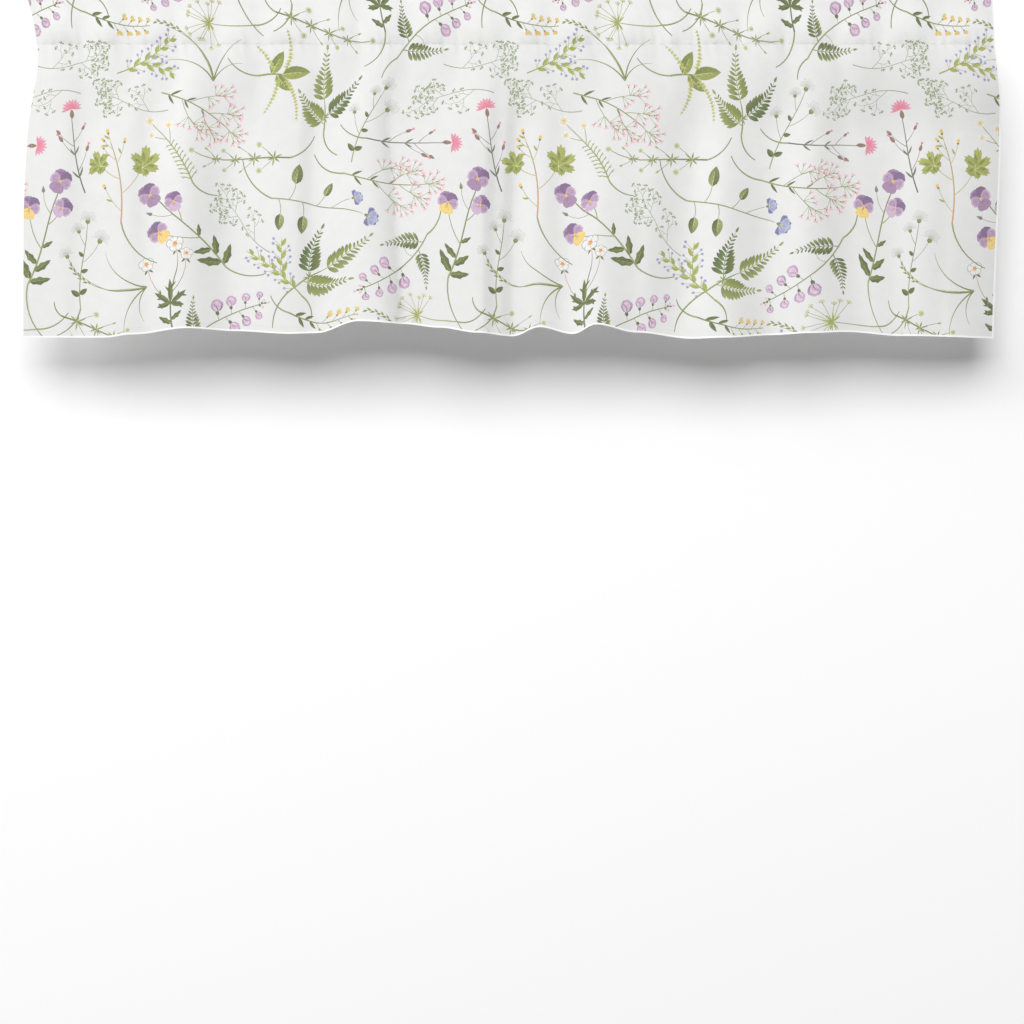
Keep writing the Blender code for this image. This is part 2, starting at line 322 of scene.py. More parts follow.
def pocket_face(u, column, v):
    """The printed face of the pocket: up the back wall, over the rod and down the front wall."""
    swell = gather(column)
    front = v > SEAM_V / 2
    side = np.where(front, -1.0, 1.0)
    up = np.where(front, SEAM_V - v, v)
    step = np.clip(up / WALL_LENGTH, 0.0, 1.0)
    full = np.where(front, SWELL_FRONT, SWELL_BACK)
    out = blend(full * np.sin(math.pi * np.minimum(step * 1.1, 1.0)) ** 0.7, SWELL_TOP, step) * swell
    out = out + 0.6 * unevenness(u, v) * np.sin(math.pi * step)
    radius = WRAP_RADIUS + SOLID_CLOTH
    y = side * (blend(SEAM_FACE, radius, step) + math.cos(WALL_LEAN) * out)
    z = blend(SEAM_Z, ROD_Z, step) + math.sin(WALL_LEAN) * out
    y = y - (1 - ease(step)) * SEAM_WAVE * swell - pucker(u, up, 0.016)
    over = up > WALL_LENGTH
    angle = math.pi * (v - WALL_LENGTH) / OVER_ROD
    reach = radius + SWELL_TOP * swell
    y = np.where(over, np.cos(angle) * reach, y)
    z = np.where(over, ROD_Z + np.sin(angle) * reach, z)
    return np.stack((between_sides(column, SEAM_Z - z), y, z), axis=1)


def hang(u, v):
    """Where the printed face hangs, for arrays of u and v."""
    u, v = np.asarray(u, float), np.asarray(v, float)
    column = column_at(u)
    places = np.empty((len(u), 3))
    panel = v >= SEAM_V
    places[panel] = panel_face(u[panel], column[panel], v[panel] - SEAM_V)
    places[~panel] = pocket_face(u[~panel], column[~panel], v[~panel])
    return places


def facing(u, v, reach=0.0012):
    """The direction that the printed face looks in, from places a little to each side."""
    across = hang(np.minimum(u + reach, FLAT_WIDTH), v) - hang(np.maximum(u - reach, 0), v)
    down = hang(u, np.minimum(v + reach, FLAT_LENGTH)) - hang(u, np.maximum(v - reach, 0))
    normal = np.cross(down, across)
    return normal / np.linalg.norm(normal, axis=1, keepdims=True)


corners = hang([0, FLAT_WIDTH, 0, FLAT_WIDTH], [SEAM_V, SEAM_V, FLAT_LENGTH, FLAT_LENGTH])
print("the panel's corners:", np.round(corners, 4).tolist())

# %% [markdown]
# ## Drawing the print
#
# The print is drawn here in millimetres on the flat cloth, with brush strokes, leaves and petals, each a
# flat outline with a colour at its foot and another at its tip. A point is one complex number, because
# turning a motif is then a single multiplication. A spine is the line that a stem, a leaf or a petal
# grows along, and every outline is laid out on both sides of one.

# %% Drawing tools
luck = random.Random(7)
drawn = []


def turn(degrees):
    return cmath.rect(1, math.radians(degrees))


def fill(points, near, far=None, start=0j, end=1j):
    drawn.append((points, near, far or near, start, end))


def spine(start, heading, length, bend=0, curl=0, steps=8):
    """Points of a stem: it leaves along heading and turns by bend, and by curl more towards its tip."""
    points = [start]
    for k in range(steps):
        share = (k + 0.5) / steps
        points.append(points[-1] + length / steps * turn(heading + bend * share + curl * share ** 3))
    return points


def along(points, share, off=0):
    """The point at a share of the way along a spine, and a heading that many degrees off its own."""
    place = min(max(share, 0), 0.9999) * (len(points) - 1)
    k = int(place)
    step = points[k + 1] - points[k]
    return points[k] + step * (place - k), math.degrees(cmath.phase(step)) + off


# %% Strokes, leaves and petals
def stroke(points, wide, thin, near, far=None):
    """A tapering brush line along a spine."""
    left, right = [], []
    last = len(points) - 1
    for k, point in enumerate(points):
        step = points[min(k + 1, last)] - points[max(k - 1, 0)]
        side = 1j * step / abs(step) * (wide + (thin - wide) * k / last) / 2
        left.append(point + side)
        right.append(point - side)
    fill(left + right[::-1], near, far, points[0], points[-1])


def hair(base, heading, length, *look):
    """A straight stroke, with stroke's own widths and tones."""
    stroke(spine(base, heading, length, steps=1), *look)


def edge_of(middle, width, form, side, teeth=0.0):
    """One edge of a leaf or petal. form gives how its width swells and closes."""
    swell, close = form
    peak = swell / (swell + close)
    tallest = peak ** swell * (1 - peak) ** close
    last = len(middle) - 1
    points = []
    for k in range(1, last):
        share = k / last
        half = width / 2 * share ** swell * (1 - share) ** close / tallest
        half *= 1 + teeth * (1 if k % 2 else -1)
        step = middle[k + 1] - middle[k - 1]
        points.append(middle[k] + side * 1j * step / abs(step) * half)
    return points


OVATE, LANCE, ROUND, DROP = (0.6, 0.85), (0.8, 1.1), (0.5, 0.5), (0.5, 1.2)
PETAL, BROAD = (0.9, 0.32), (0.66, 0.42)


def leaf(base, heading, length, width, tones, form=OVATE, bend=0, teeth=0.0, steps=6, rib=0.0):
    """A leaf in two tones, one for each half, with a pale rib and, where it is wide, its side veins."""
    middle = spine(base, heading, length, bend, steps=steps)
    for side, tone in ((1, tones[0]), (-1, tones[1])):
        fill([middle[0]] + edge_of(middle, width, form, side, teeth) + [middle[-1]] + middle[-2:0:-1],
             tone, tones[1 if side > 0 else 0], middle[0], middle[-1] + 1j * side * length)
    if rib:
        stroke(middle[:-1:2], rib, rib * 0.4, tones[2])
    if rib and width > 7:
        for share in (0.22, 0.42, 0.62):
            point, way = along(middle, share)
            for side, tone in ((1, tones[0]), (-1, tones[2])):
                hair(point, way + side * 40, width * (0.52 - 0.30 * share), 0.7, 0.3, tone, tones[1])
    return middle


def blob(base, heading, length, width, near, far=None, form=ROUND, steps=5):
    """One plain leaflet, petal, bud or berry."""
    middle = spine(base, heading, length, steps=steps)
    fill([middle[0]] + edge_of(middle, width, form, 1) + [middle[-1]]
         + edge_of(middle, width, form, -1)[::-1], near, far, middle[0], middle[-1])


def dot(centre, radius, near, far=None, sides=8):
    fill([centre + radius * turn(360 * k / sides) for k in range(sides)], near, far,
         centre - 1j * radius, centre + 1j * radius)


# %% [markdown]
# The inks are few, as in a real screen print: six greens for leaves, dull greens and browns for stems,
# and clear, slightly greyed violets, pinks, yellows and blues for the flowers. They are written as screen
# values from 0 to 255.

# %% Inks
DARK_LEAF, MOSS, HERB = (78, 91, 44), (112, 124, 57), (150, 158, 96)
LIME, SPRING, STRAW = (170, 175, 90), (148, 156, 76), (208, 207, 138)
STALK, WIRE, RUST, GOLD = (152, 158, 108), (104, 108, 80), (204, 146, 102), (210, 184, 116)
VIOLET, MAUVE, LILAC, PEARL = (126, 98, 136), (162, 132, 164), (202, 174, 198), (228, 202, 213)
ROSE, BLUSH, CERISE, BRICK = (220, 158, 176), (238, 204, 208), (222, 112, 138), (134, 106, 96)
LEMON, AMBER, ORANGE = (234, 202, 118), (230, 176, 94), (218, 132, 74)
FLAX, PALE_BLUE, INK = (144, 148, 184), (188, 191, 214), (106, 98, 138)
MILK, ASH, DUST = (230, 230, 227), (168, 169, 162), (196, 197, 190)


# %% [markdown]
# ### Flowers and leaves
#
# The flowers are ordinary wild ones, each reduced to what a printer would draw: the violet's five petals
# and whiskers, the hood of a vetch, the notched petals of a campion. Darker shapes go down first, then
# the paler ones within them, as inks are overprinted.

# %% Violets and vetches
def viola(centre, heading, size, upper=VIOLET, lower=MAUVE, lip=LILAC):
    """Two dark petals above, two at the sides and a broad lip, round a yellow eye."""
    for angle, tone, edge, reach, wide in ((60, upper, MAUVE, 0.58, 0.54), (120, upper, VIOLET, 0.58, 0.54),
                                           (6, lower, LILAC, 0.52, 0.50), (174, lower, LILAC, 0.52, 0.50),
                                           (-90, lip, lip, 0.56, 0.70)):
        blob(centre, heading + angle, size * reach, size * wide, tone, edge, BROAD, 7)
        blob(centre, heading + angle, size * reach * 0.84, size * wide * 0.66, edge, tone, BROAD, 5)
        for spread in (-16, 0, 16):
            if angle < 20 or angle > 150:
                hair(centre, heading + angle + spread, size * 0.26, 0.5, 0.2, INK)
    dot(centre, size * 0.085, LEMON, AMBER, 6)
    dot(centre - 1j * turn(heading) * size * 0.03, size * 0.04, ORANGE, sides=4)


def pea_flower(base, heading, size, tone=LILAC, deep=MAUVE):
    """A hooded flower that hangs from a green cup."""
    blob(base, heading, size * 0.42, size * 0.24, DARK_LEAF, MOSS, OVATE, 3)
    hood = base + size * 0.26 * turn(heading)
    blob(hood, heading + 14, size * 0.80, size * 0.70, deep, tone, BROAD, 6)
    blob(hood, heading + 9, size * 0.66, size * 0.46, tone, PEARL, BROAD, 5)
    for spread in (-6, 8, 22):
        hair(hood, heading + spread, size * 0.5, 0.5, 0.25, deep)
    blob(hood, heading - 24, size * 0.62, size * 0.36, deep, tone, ROUND, 4)
    blob(hood, heading - 24, size * 0.50, size * 0.20, PEARL, tone, ROUND, 3)


def pea_bud(base, heading, size):
    blob(base, heading, size * 0.5, size * 0.3, MOSS, DARK_LEAF, OVATE, 3)
    blob(base + size * 0.36 * turn(heading), heading, size * 0.6, size * 0.36, BLUSH, LILAC, ROUND, 4)


# %% Fern fronds, cut leaves and lobed leaves
def frond(base, heading, length, width, tones, bend=20, pairs=9):
    """A leaf of paired leaflets that shorten towards its tip."""
    middle = spine(base, heading, length, bend, steps=6)
    stroke(middle, 1.0, 0.4, tones[1])
    for k in range(pairs):
        share = 0.12 + 0.86 * k / pairs
        size = width * (0.55 + 0.45 * math.sin(math.pi * min(share * 1.25 + 0.15, 1))) * (1.05 - 0.5 * share)
        point, way = along(middle, share)
        for side in (1, -1):
            blob(point, way + side * (58 - 14 * share), size, size * 0.33,
                 tones[0] if side > 0 else tones[1], tones[2 if side > 0 else 0], (0.7, 0.5), 4)
    point, way = along(middle, 1)
    blob(point, way, width * 0.45, width * 0.18, tones[1], tones[2], OVATE, 4)


def hand_leaf(base, heading, size, tones=(DARK_LEAF, MOSS, HERB)):
    """A leaf cut into five narrow fingers, each with two side teeth."""
    for angle, reach in ((-100, 0.55), (-52, 0.8), (0, 1.0), (50, 0.82), (98, 0.55)):
        way = heading + angle
        finger = leaf(base, way, size * reach, size * 0.2, tones, (0.7, 0.9), bend=6, steps=4)
        for share, side in ((0.45, 1), (0.62, -1)):
            point, _ = along(finger, share)
            blob(point, way + side * 42, size * reach * 0.34, size * 0.09, tones[0], tones[1], LANCE, 3)


def maple_leaf(base, heading, size, tones=(LIME, SPRING, STRAW)):
    """A broad leaf of six toothed lobes with pale veins."""
    heart = base + size * 0.34 * turn(heading)
    outline = []
    lobes = ((-142, 0.40), (-84, 0.52), (-32, 0.58), (24, 0.62), (78, 0.54), (138, 0.40))
    for k, (angle, reach) in enumerate(lobes):
        for off, share in ((-19, 0.74), (-10, 0.96), (-4, 0.86), (3, 1.06), (8, 0.88), (15, 0.93)):
            outline.append(heart + size * reach * share * turn(heading + angle + off))
        if k < len(lobes) - 1:
            outline.append(heart + size * 0.30 * turn(heading + (angle + lobes[k + 1][0]) / 2))
    outline.append(base)
    fill(outline, tones[1], tones[0], base, base + size * turn(heading))
    for angle, reach in lobes:
        hair(heart - size * 0.1 * turn(heading), heading + angle, size * reach * 0.85, 0.7, 0.25, tones[2])
        blob(heart + size * 0.06 * turn(heading + angle + 16), heading + angle + 10, size * reach * 0.62,
             size * 0.11, SPRING, MOSS, LANCE, 3)


# %% White flowers, campions and flax
def open_flower(centre, heading, size, petal=MILK, edge=ASH, eye=AMBER, petals=5, tilt=0.8):
    """A round flower of pale petals, each with a fine dark rim, seen a little from the side."""
    for k in range(petals):
        way = 360 * k / petals + 18
        squash = abs(complex(math.cos(math.radians(way)), tilt * math.sin(math.radians(way))))
        blob(centre, heading + way, size * 0.52 * squash, size * 0.44, edge, edge, PETAL, 5)
        blob(centre, heading + way, size * 0.48 * squash, size * 0.37, petal, petal, PETAL, 5)
        hair(centre, heading + way, size * 0.3 * squash, 0.35, 0.15, edge)
    dot(centre, size * 0.13, eye, ORANGE, 6)
    for k in range(5):
        dot(centre + size * 0.15 * turn(72 * k), size * 0.03, ORANGE, sides=4)


def ragged_flower(centre, heading, size):
    """Five deeply notched pink petals on a brown cup."""
    blob(centre - size * 0.62 * turn(heading), heading, size * 0.62, size * 0.26, BRICK, (150, 120, 100),
         OVATE, 4)
    for k in range(5):
        way = heading - 84 + 42 * k
        for off, reach in ((-11, 0.62), (0, 0.5), (11, 0.66)):
            blob(centre, way + off, size * reach, size * 0.13, CERISE, ROSE, PETAL, 4)
    dot(centre, size * 0.07, BLUSH, CERISE, 5)


def ragged_bud(base, heading, size):
    blob(base, heading, size, size * 0.42, BRICK, (150, 122, 100), OVATE, 4)
    for off in (-18, 0, 18):
        blob(base + size * 0.85 * turn(heading), heading + off, size * 0.5, size * 0.16, CERISE, ROSE,
             PETAL, 3)


def flax_flower(centre, heading, size):
    """A shallow blue cup seen from the side: three petals behind and four before them, rimmed and veined."""
    for angle, reach, tone, rim in (
            (64, 0.52, INK, FLAX), (116, 0.52, INK, FLAX), (90, 0.54, FLAX, PALE_BLUE), (14, 0.50, FLAX, INK),
            (166, 0.50, FLAX, INK), (44, 0.48, PALE_BLUE, FLAX), (136, 0.48, PALE_BLUE, FLAX)):
        way = heading - 90 + angle
        blob(centre, way, size * reach, size * 0.32, rim, tone, PETAL, 5)
        blob(centre, way, size * reach * 0.9, size * 0.25, tone, rim, PETAL, 5)
        hair(centre, way, size * reach * 0.7, 0.5, 0.2, INK)
    blob(centre - size * 0.18 * turn(heading), heading, size * 0.28, size * 0.16, MOSS, HERB, OVATE, 4)
    dot(centre + size * 0.06 * turn(heading), size * 0.05, STRAW, sides=5)


# %% Daisies, seed heads, buds and berries
def daisy(centre, heading, size, petal=(244, 240, 226), rim=(208, 200, 176), eye=AMBER):
    for k in range(11):
        blob(centre, heading + 360 * k / 11, size * 0.5, size * 0.15, rim, petal, PETAL, 3)
    dot(centre, size * 0.13, LEMON, eye, 6)


def puff(centre, heading, size):
    """A soft grey seed head of fine hairs over a green cup."""
    blob(centre - size * 0.34 * turn(heading), heading, size * 0.4, size * 0.34, MOSS, HERB, ROUND, 4)
    for k in range(17):
        way = heading - 100 + 200 * k / 16
        reach = size * luck.uniform(0.42, 0.62)
        hair(centre, way, reach, 0.55, 0.3, DUST, ASH)
        dot(centre + reach * turn(way), size * 0.03, ASH, sides=4)


def bud(base, heading, size, cup=MOSS, tone=AMBER, tip=LEMON):
    blob(base, heading, size * 0.5, size * 0.42, cup, cup, ROUND, 3)
    blob(base + size * 0.3 * turn(heading), heading, size * 0.7, size * 0.56, tone, tip, ROUND, 4)


def berry(centre, size):
    dot(centre, size / 2, FLAX, PALE_BLUE, 6)
    dot(centre + size * 0.12 * turn(60), size * 0.17, INK, sides=4)


# %% Catkins, seed clouds and whorls
def catkin(base, heading, length, bend, tones=(SPRING, LIME, STRAW)):
    """A drooping spike of little tufts that shrink towards its tip."""
    middle = spine(base, heading, length, bend, steps=8)
    stroke(middle, 0.9, 0.4, tones[1])
    count = int(length / 4.6)
    for k in range(count):
        share = 0.16 + 0.84 * k / count
        point, way = along(middle, share)
        size = 4.6 * (1.05 - 0.55 * share)
        for off in (-74, -28, 30, 76):
            blob(point, way + off + luck.uniform(-14, 14), size * luck.uniform(0.8, 1.1), size * 0.42,
                 tones[luck.randrange(2)], tones[2], (0.6, 0.7), 3)


def seed_haze(base, heading, length, spread=62, tones=((128, 140, 98), (156, 167, 126)), depth=3):
    """Hair-thin branches that fork again and again and end in small seeds."""
    middle = spine(base, heading, length, luck.uniform(-16, 16), steps=1 + depth)
    stroke(middle, 0.36 + 0.18 * depth, 0.34, tones[1], tones[0])
    if depth == 0:
        for off in (-46, 8, 50):
            point = middle[-1] + 0.6 * turn(heading + off)
            blob(point, heading + off, 3.2, 1.9, tones[0], tones[1], ROUND, 2)
        return
    forks = 4 if depth == 3 else 3
    for k in range(forks):
        point, way = along(middle, 0.42 + 0.58 * k / (forks - 1))
        side = 1 if k % 2 else -1
        angle = way + side * spread * (1 - 0.55 * k / (forks - 1)) * luck.uniform(0.75, 1.1)
        seed_haze(point, angle, length * luck.uniform(0.42, 0.56), spread, tones, depth - 1)


def whorl(base, heading, size, count=6, tones=(MOSS, HERB)):
    for k in range(count):
        blob(base, heading + 360 * k / count + 20, size * (1 if k % 2 else 0.8), size * 0.2,
             tones[k % 2], tones[1], LANCE, 3)


# %% [markdown]
# ### Sprigs
#
# A sprig is a stem with its leaves and flowers, growing up from the origin. Small helpers set side
# branches and leaves along a stem, so that a sprig reads as a short list of what grows where.

# %% Stems and branches
def branch(main, share, off, length, bend=0, wide=1.25, tone=STALK, tip=MOSS, steps=4):
    """A side stem, off degrees from the stem that it leaves."""
    side = spine(*along(main, share, off), length, bend, steps=steps)
    stroke(side, wide, wide * 0.6, tone, tip)
    return side


def shoots(main, rows, wide=1.25, tone=STALK, tip=MOSS):
    """Side stems, one for each row of share, angle, length, bend and a flower's size. Each comes with the
    place and the heading of its tip."""
    for share, off, length, bend, size in rows:
        side = branch(main, share, off, length, bend, wide, tone, tip)
        yield side, *along(side, 1), size


def stem(length, bend, curl=0, wide=1.8, tone=STALK, tip=MOSS):
    main = spine(0j, 90 - bend / 2, length, bend, curl, 9)
    stroke(main, wide * 1.15, wide * 0.65, tone, tip)
    return main


def leaves(main, rows, form=LANCE, tones=(DARK_LEAF, MOSS, HERB), slim=0.34, teeth=0.0, rib=0.5, bend=12):
    """Leaves down a stem, each row a share of the stem, an angle off it and a length."""
    for share, off, length in rows:
        leaf(*along(main, share, off), length, length * slim, tones, form, -bend if off > 0 else bend,
             teeth, rib=rib)


# %% Violet, vetch and fern sprigs
def viola_sprig():
    main = stem(112, -34, 30, 2.0)
    leaves(main, ((0.04, 62, 26), (0.07, -58, 30), (0.16, 40, 24), (0.24, -66, 22), (0.42, 50, 15)),
           teeth=0.16)
    rows = ((0.40, -52, 46, 34, 25), (0.66, 44, 22, -30, 22), (0.99, -12, 10, 0, 26))
    for (_, point, way, size), lip in zip(shoots(main, rows), (LEMON, LILAC, MAUVE)):
        viola(point + size * 0.2 * turn(way), way - 70, size, lip=lip)
    side = branch(main, 0.78, -58, 26, 40, 0.8)
    blob(*along(side, 1), 9, 4, MOSS, MAUVE, DROP)


def vetch_sprig():
    main = stem(116, 58, -20, 1.5)
    for share, off, length, wide in ((0.10, 66, 50, 14), (0.20, -58, 44, 12)):
        frond(*along(main, share, off), length, wide, (DARK_LEAF, MOSS, HERB), -24 if off > 0 else 24)
    stroke(spine(along(main, 0.3)[0], 130, 34, 150, 160, 14), 0.7, 0.35, HERB)
    for k in range(7):
        share, side = 0.50 + 0.075 * k, 1 if k % 2 else -1
        stalk = branch(main, share, side * 70, 5, 0, 0.8, steps=2)
        pea_flower(*along(stalk, 1), 19.5 - 1.5 * k, LILAC, MAUVE if k % 3 else VIOLET)
    for k in range(3):
        pea_bud(*along(main, 0.94 + 0.03 * k, (40, -34, 4)[k]), 8)


def fern_sprig():
    main = stem(34, 20)
    for share, off, length, bend in ((0.3, 58, 50, -26), (0.55, -62, 58, 34), (0.98, 6, 64, -30)):
        tones = (DARK_LEAF, (106, 130, 62), MOSS) if off < 0 else (MOSS, SPRING, HERB)
        frond(*along(main, share, off), length, 17, tones, bend, 10)
    whorl(main[5], 90, 8)


# %% Seed cloud, catkin and berry sprigs
def haze_sprig():
    main = stem(46, 40, 0, 1.0, (150, 158, 140), HERB)
    seed_haze(*along(main, 0.99), 30)
    seed_haze(*along(main, 0.5, 44), 22, depth=2)


def catkin_spray():
    main = stem(30, -20, 0, 2.2)
    leaves(main, ((0.5, 64, 30), (0.7, -50, 27), (0.95, 18, 34)), OVATE, (MOSS, SPRING, STRAW), 0.46, rib=0.9)
    for share, off, length, bend in ((0.9, -34, 62, -50), (0.8, -82, 50, -40), (0.95, 62, 54, 52),
                                     (0.6, 104, 40, 40)):
        catkin(*along(main, share, off), length, bend)


def berry_sprig():
    main = stem(84, 26, 0, 1.3, SPRING, LIME)
    fork = branch(main, 0.36, -38, 46, -16, 1.1, SPRING, LIME, 8)
    for line, count in ((main, 9), (fork, 5)):
        for k in range(count):
            share, side = 0.16 + 0.82 * k / count, 1 if k % 2 else -1
            point, way = along(line, share)
            leaf(point, way + side * 34, 13 - 0.5 * k, 4.6, (SPRING, LIME, STRAW), LANCE, side * -10)
            for off, reach in ((58, 12), (84, 9)):
                stalk = spine(point, way - side * off, reach * luck.uniform(0.8, 1.2), side * 18, steps=2)
                stroke(stalk, 0.6, 0.45, LIME, HERB)
                berry(stalk[-1], luck.uniform(3.2, 4.2))


# %% White flower, buttercup and pink sprigs
def white_sprig():
    main = stem(70, -30, 0, 1.7, WIRE, MOSS)
    hand_leaf(*along(main, 0.42), 30)
    leaves(main, ((0.08, 54, 18), (0.14, -60, 16)), teeth=0.2)
    rows = ((0.44, 56, 52, -44, 19), (0.60, -40, 46, 50, 17), (0.98, 4, 26, 30, 22))
    for _, point, way, size in shoots(main, rows, 0.9, WIRE, RUST):
        for wing in (-40, 40):
            blob(point, way + 180 + wing, 8, 2.6, MOSS, DARK_LEAF, LANCE, 3)
        open_flower(point + size * 0.3 * turn(way), way - 90, size)


def buttercup_sprig():
    main = stem(96, 30, 0, 1.6, RUST, STALK)
    rows = ((0.34, -62, 30, 30, 36), (0.52, 58, 22, -20, 29))
    for _, point, way, size in shoots(main, rows, 1.1, GOLD, SPRING):
        maple_leaf(point, way, size)
    rows = ((0.12, 46, 34, -20, 7.5), (0.72, -44, 24, 20, 7.5), (0.76, 40, 20, -16, 6.5),
            (0.9, 30, 14, -10, 7), (0.99, -4, 10, 0, 8))
    for side, point, way, size in shoots(main, rows, 0.9, GOLD, SPRING):
        blob(side[2], way + 40, 9, 2.6, SPRING, LIME, LANCE, 3)
        bud(point, way, size)


def pink_spray():
    main = stem(92, 24, 0, 1.5)
    leaves(main, ((0.1, 46, 15), (0.13, -44, 15), (0.34, 42, 13), (0.37, -44, 13), (0.6, 40, 11)),
           slim=0.2, rib=0)
    for share, off, length, bend in ((0.3, 50, 44, -26), (0.42, -48, 40, 24), (0.6, 44, 32, -20),
                                     (0.72, -40, 28, 22), (0.98, 6, 16, 0)):
        side = branch(main, share, off, length, bend, 0.9)
        for where, lean in ((0.55, 42), (0.78, -44), (1.0, 0)):
            point, way = along(side, where)
            for k in range(4):
                swing = way + lean + 30 * (k - 1.5) + luck.uniform(-6, 6)
                twig = spine(point, swing, luck.uniform(8, 13), steps=1)
                stroke(twig, 0.6, 0.45, HERB)
                blob(twig[-1], swing, 3.6, 1.8, MOSS, HERB, ROUND, 2)
                for turned in (-34, 34):
                    blob(twig[-1] + 2.4 * turn(swing), swing + turned, 4.2, 2.3, ROSE, BLUSH, PETAL, 3)


# %% Campion, flax and thistle sprigs
def campion_sprig():
    main = stem(90, -30, 20, 1.4, (96, 94, 84), (126, 126, 104))
    leaves(main, ((0.2, 36, 13), (0.22, -38, 13), (0.5, 34, 11), (0.52, -36, 11)),
           tones=(WIRE, (110, 122, 92), HERB), slim=0.18, rib=0)
    point, way = along(main, 0.99)
    ragged_flower(point + 11j, way, 19)
    rows = ((0.3, -46, 24, 20, 9), (0.5, 44, 22, -20, 10), (0.68, -50, 16, 20, 7.5))
    for _, point, way, size in shoots(main, rows, 0.8, (110, 108, 96), BRICK):
        ragged_bud(point, way, size)
    side = branch(main, 0.62, 52, 22, -20, 0.8, (110, 108, 96), BRICK)
    blob(*along(side, 1), 8, 3.8, BRICK, (160, 132, 112), OVATE)


def flax_sprig():
    main = stem(104, 44, -30, 1.4)
    rows = ((0.08, 60, 18, 40, 20), (0.2, -52, 20, -40, 24), (0.36, 56, 16, 30, 22), (0.52, -46, 14, -30, 17))
    for _, point, way, size in shoots(main, rows, 1.0):
        leaf(point, way, size, size * 0.56, (DARK_LEAF, HERB, STRAW), OVATE, rib=0.7)
    for _, point, way, size in shoots(main, ((0.99, 0, 8, 10, 26), (0.7, -40, 24, 10, 20)), 0.9):
        flax_flower(point + size * 0.24 * turn(way), way, size)


def puff_sprig():
    main = stem(92, -40, 30, 1.2)
    rows = ((0.4, 50, 26, -20, 15), (0.58, -46, 30, 30, 18), (0.8, 44, 16, -20, 14), (0.99, 0, 8, 0, 17))
    for _, point, way, size in shoots(main, rows, 0.8):
        puff(point + size * 0.3 * turn(way), way, size)
    leaves(main, ((0.16, 62, 12), (0.18, -60, 11), (0.46, -66, 9), (0.66, 60, 8)), OVATE, slim=0.55, rib=0)


def snap_sprig():
    """Small cream flowers with yellow throats, in pairs up a leafy stem."""
    main = stem(78, 34, 0, 1.4, MOSS, SPRING)
    leaves(main, ((0.1, 44, 14), (0.16, -46, 14), (0.26, 44, 12), (0.34, -44, 12)), slim=0.3, rib=0)
    for k in range(8):
        share, side = 0.44 + 0.07 * k, 1 if k % 2 else -1
        stalk = branch(main, share, side * 52, 7 - 0.4 * k, 0, 0.7, steps=2)
        point, way = along(stalk, 1)
        blob(point, way, 4, 2.4, MOSS, HERB, OVATE, 3)
        blob(point + 2.4 * turn(way), way + 24, 8 - 0.5 * k, 4.6, GOLD, STRAW, BROAD, 4)
        blob(point + 2.4 * turn(way), way - 30, 6.5 - 0.4 * k, 3.4, AMBER, LEMON, BROAD, 3)


# %% Umbel, grass, bedstraw and daisy sprigs
def star_umbel():
    main = stem(54, 20, 0, 1.3, HERB, SPRING)
    heart, way = along(main, 0.99)
    for k in range(13):
        angle = way - 118 + 236 * k / 12
        ray = spine(heart, angle, luck.uniform(20, 28), luck.uniform(-16, 16), steps=2)
        stroke(ray, 0.8, 0.5, LIME, HERB)
        for off in (-50, 0, 50):
            blob(ray[-1], angle + off, 4.2, 2.6, STRAW, DUST, ROUND, 3)
        dot(ray[-1], 1.0, SPRING, sides=5)
    for k in range(7):
        blob(heart, way - 130 + 43 * k, 11, 2.0, SPRING, LIME, LANCE, 3)


def grass_sprig():
    for heading, length, bend, wide in ((96, 88, -60, 2.2), (74, 70, -70, 1.8), (112, 62, 62, 1.8),
                                        (126, 44, 80, 1.4)):
        stroke(spine(0j, heading, length, bend, steps=10), wide, 0.4, MOSS, HERB)
    ear = spine(0j, 88, 104, -34, -40, 14)
    stroke(ear, 1.0, 0.5, STALK, HERB)
    for k in range(9):
        point, way = along(ear, 0.66 + 0.037 * k)
        blob(point, way + (24 if k % 2 else -24), 6.4, 2.2, MOSS, HERB, LANCE, 3)


def cleaver_sprig():
    main = stem(120, 30, -60, 1.7, MOSS, STALK)
    for k, share in enumerate((0.16, 0.36, 0.55, 0.74)):
        point, way = along(main, share)
        whorl(point, way, 11 - k)
        for side in (1, -1):
            twig = branch(main, share, side * 48, 24 - 3 * k, side * -16, 0.8)
            if (k + side) % 2:
                daisy(twig[-1], 20 * k, 9.5 - k, (226, 228, 206), HERB, SPRING)
            else:
                bud(*along(twig, 1), 4.6, MOSS, HERB, STRAW)
    daisy(main[-1], 0, 9, (226, 228, 206), HERB, SPRING)


def daisy_sprig():
    main = stem(86, -26, 0, 1.5, SPRING, STALK)
    for k in range(9):
        share = 0.06 + 0.07 * k
        point, way = along(main, share)
        for side in (1, -1):
            feather = spine(point, way + side * 46, 13 - 0.8 * k, side * 20, steps=2)
            stroke(feather, 1.3, 0.5, SPRING, MOSS)
            blob(feather[1], way + side * 80, 5, 1.2, SPRING, LIME, LANCE, 3)
    rows = ((0.66, 40, 22, -20, 13), (0.74, -44, 20, 24, 12), (0.99, 4, 10, 0, 15))
    for side, _, _, size in shoots(main, rows, 0.9):
        daisy(side[-1], 10, size)


# %% [markdown]
# ### The repeat
#
# A printed cloth repeats one block. Here the block is drawn 500 mm wide and 350 mm high and printed an
# eighth larger, and each row of blocks is shifted by half a block, so that the eye doesn't find columns.
# Every sprig has a place, the way it grows and a long curved tail, which leads the eye from one sprig to
# the next.

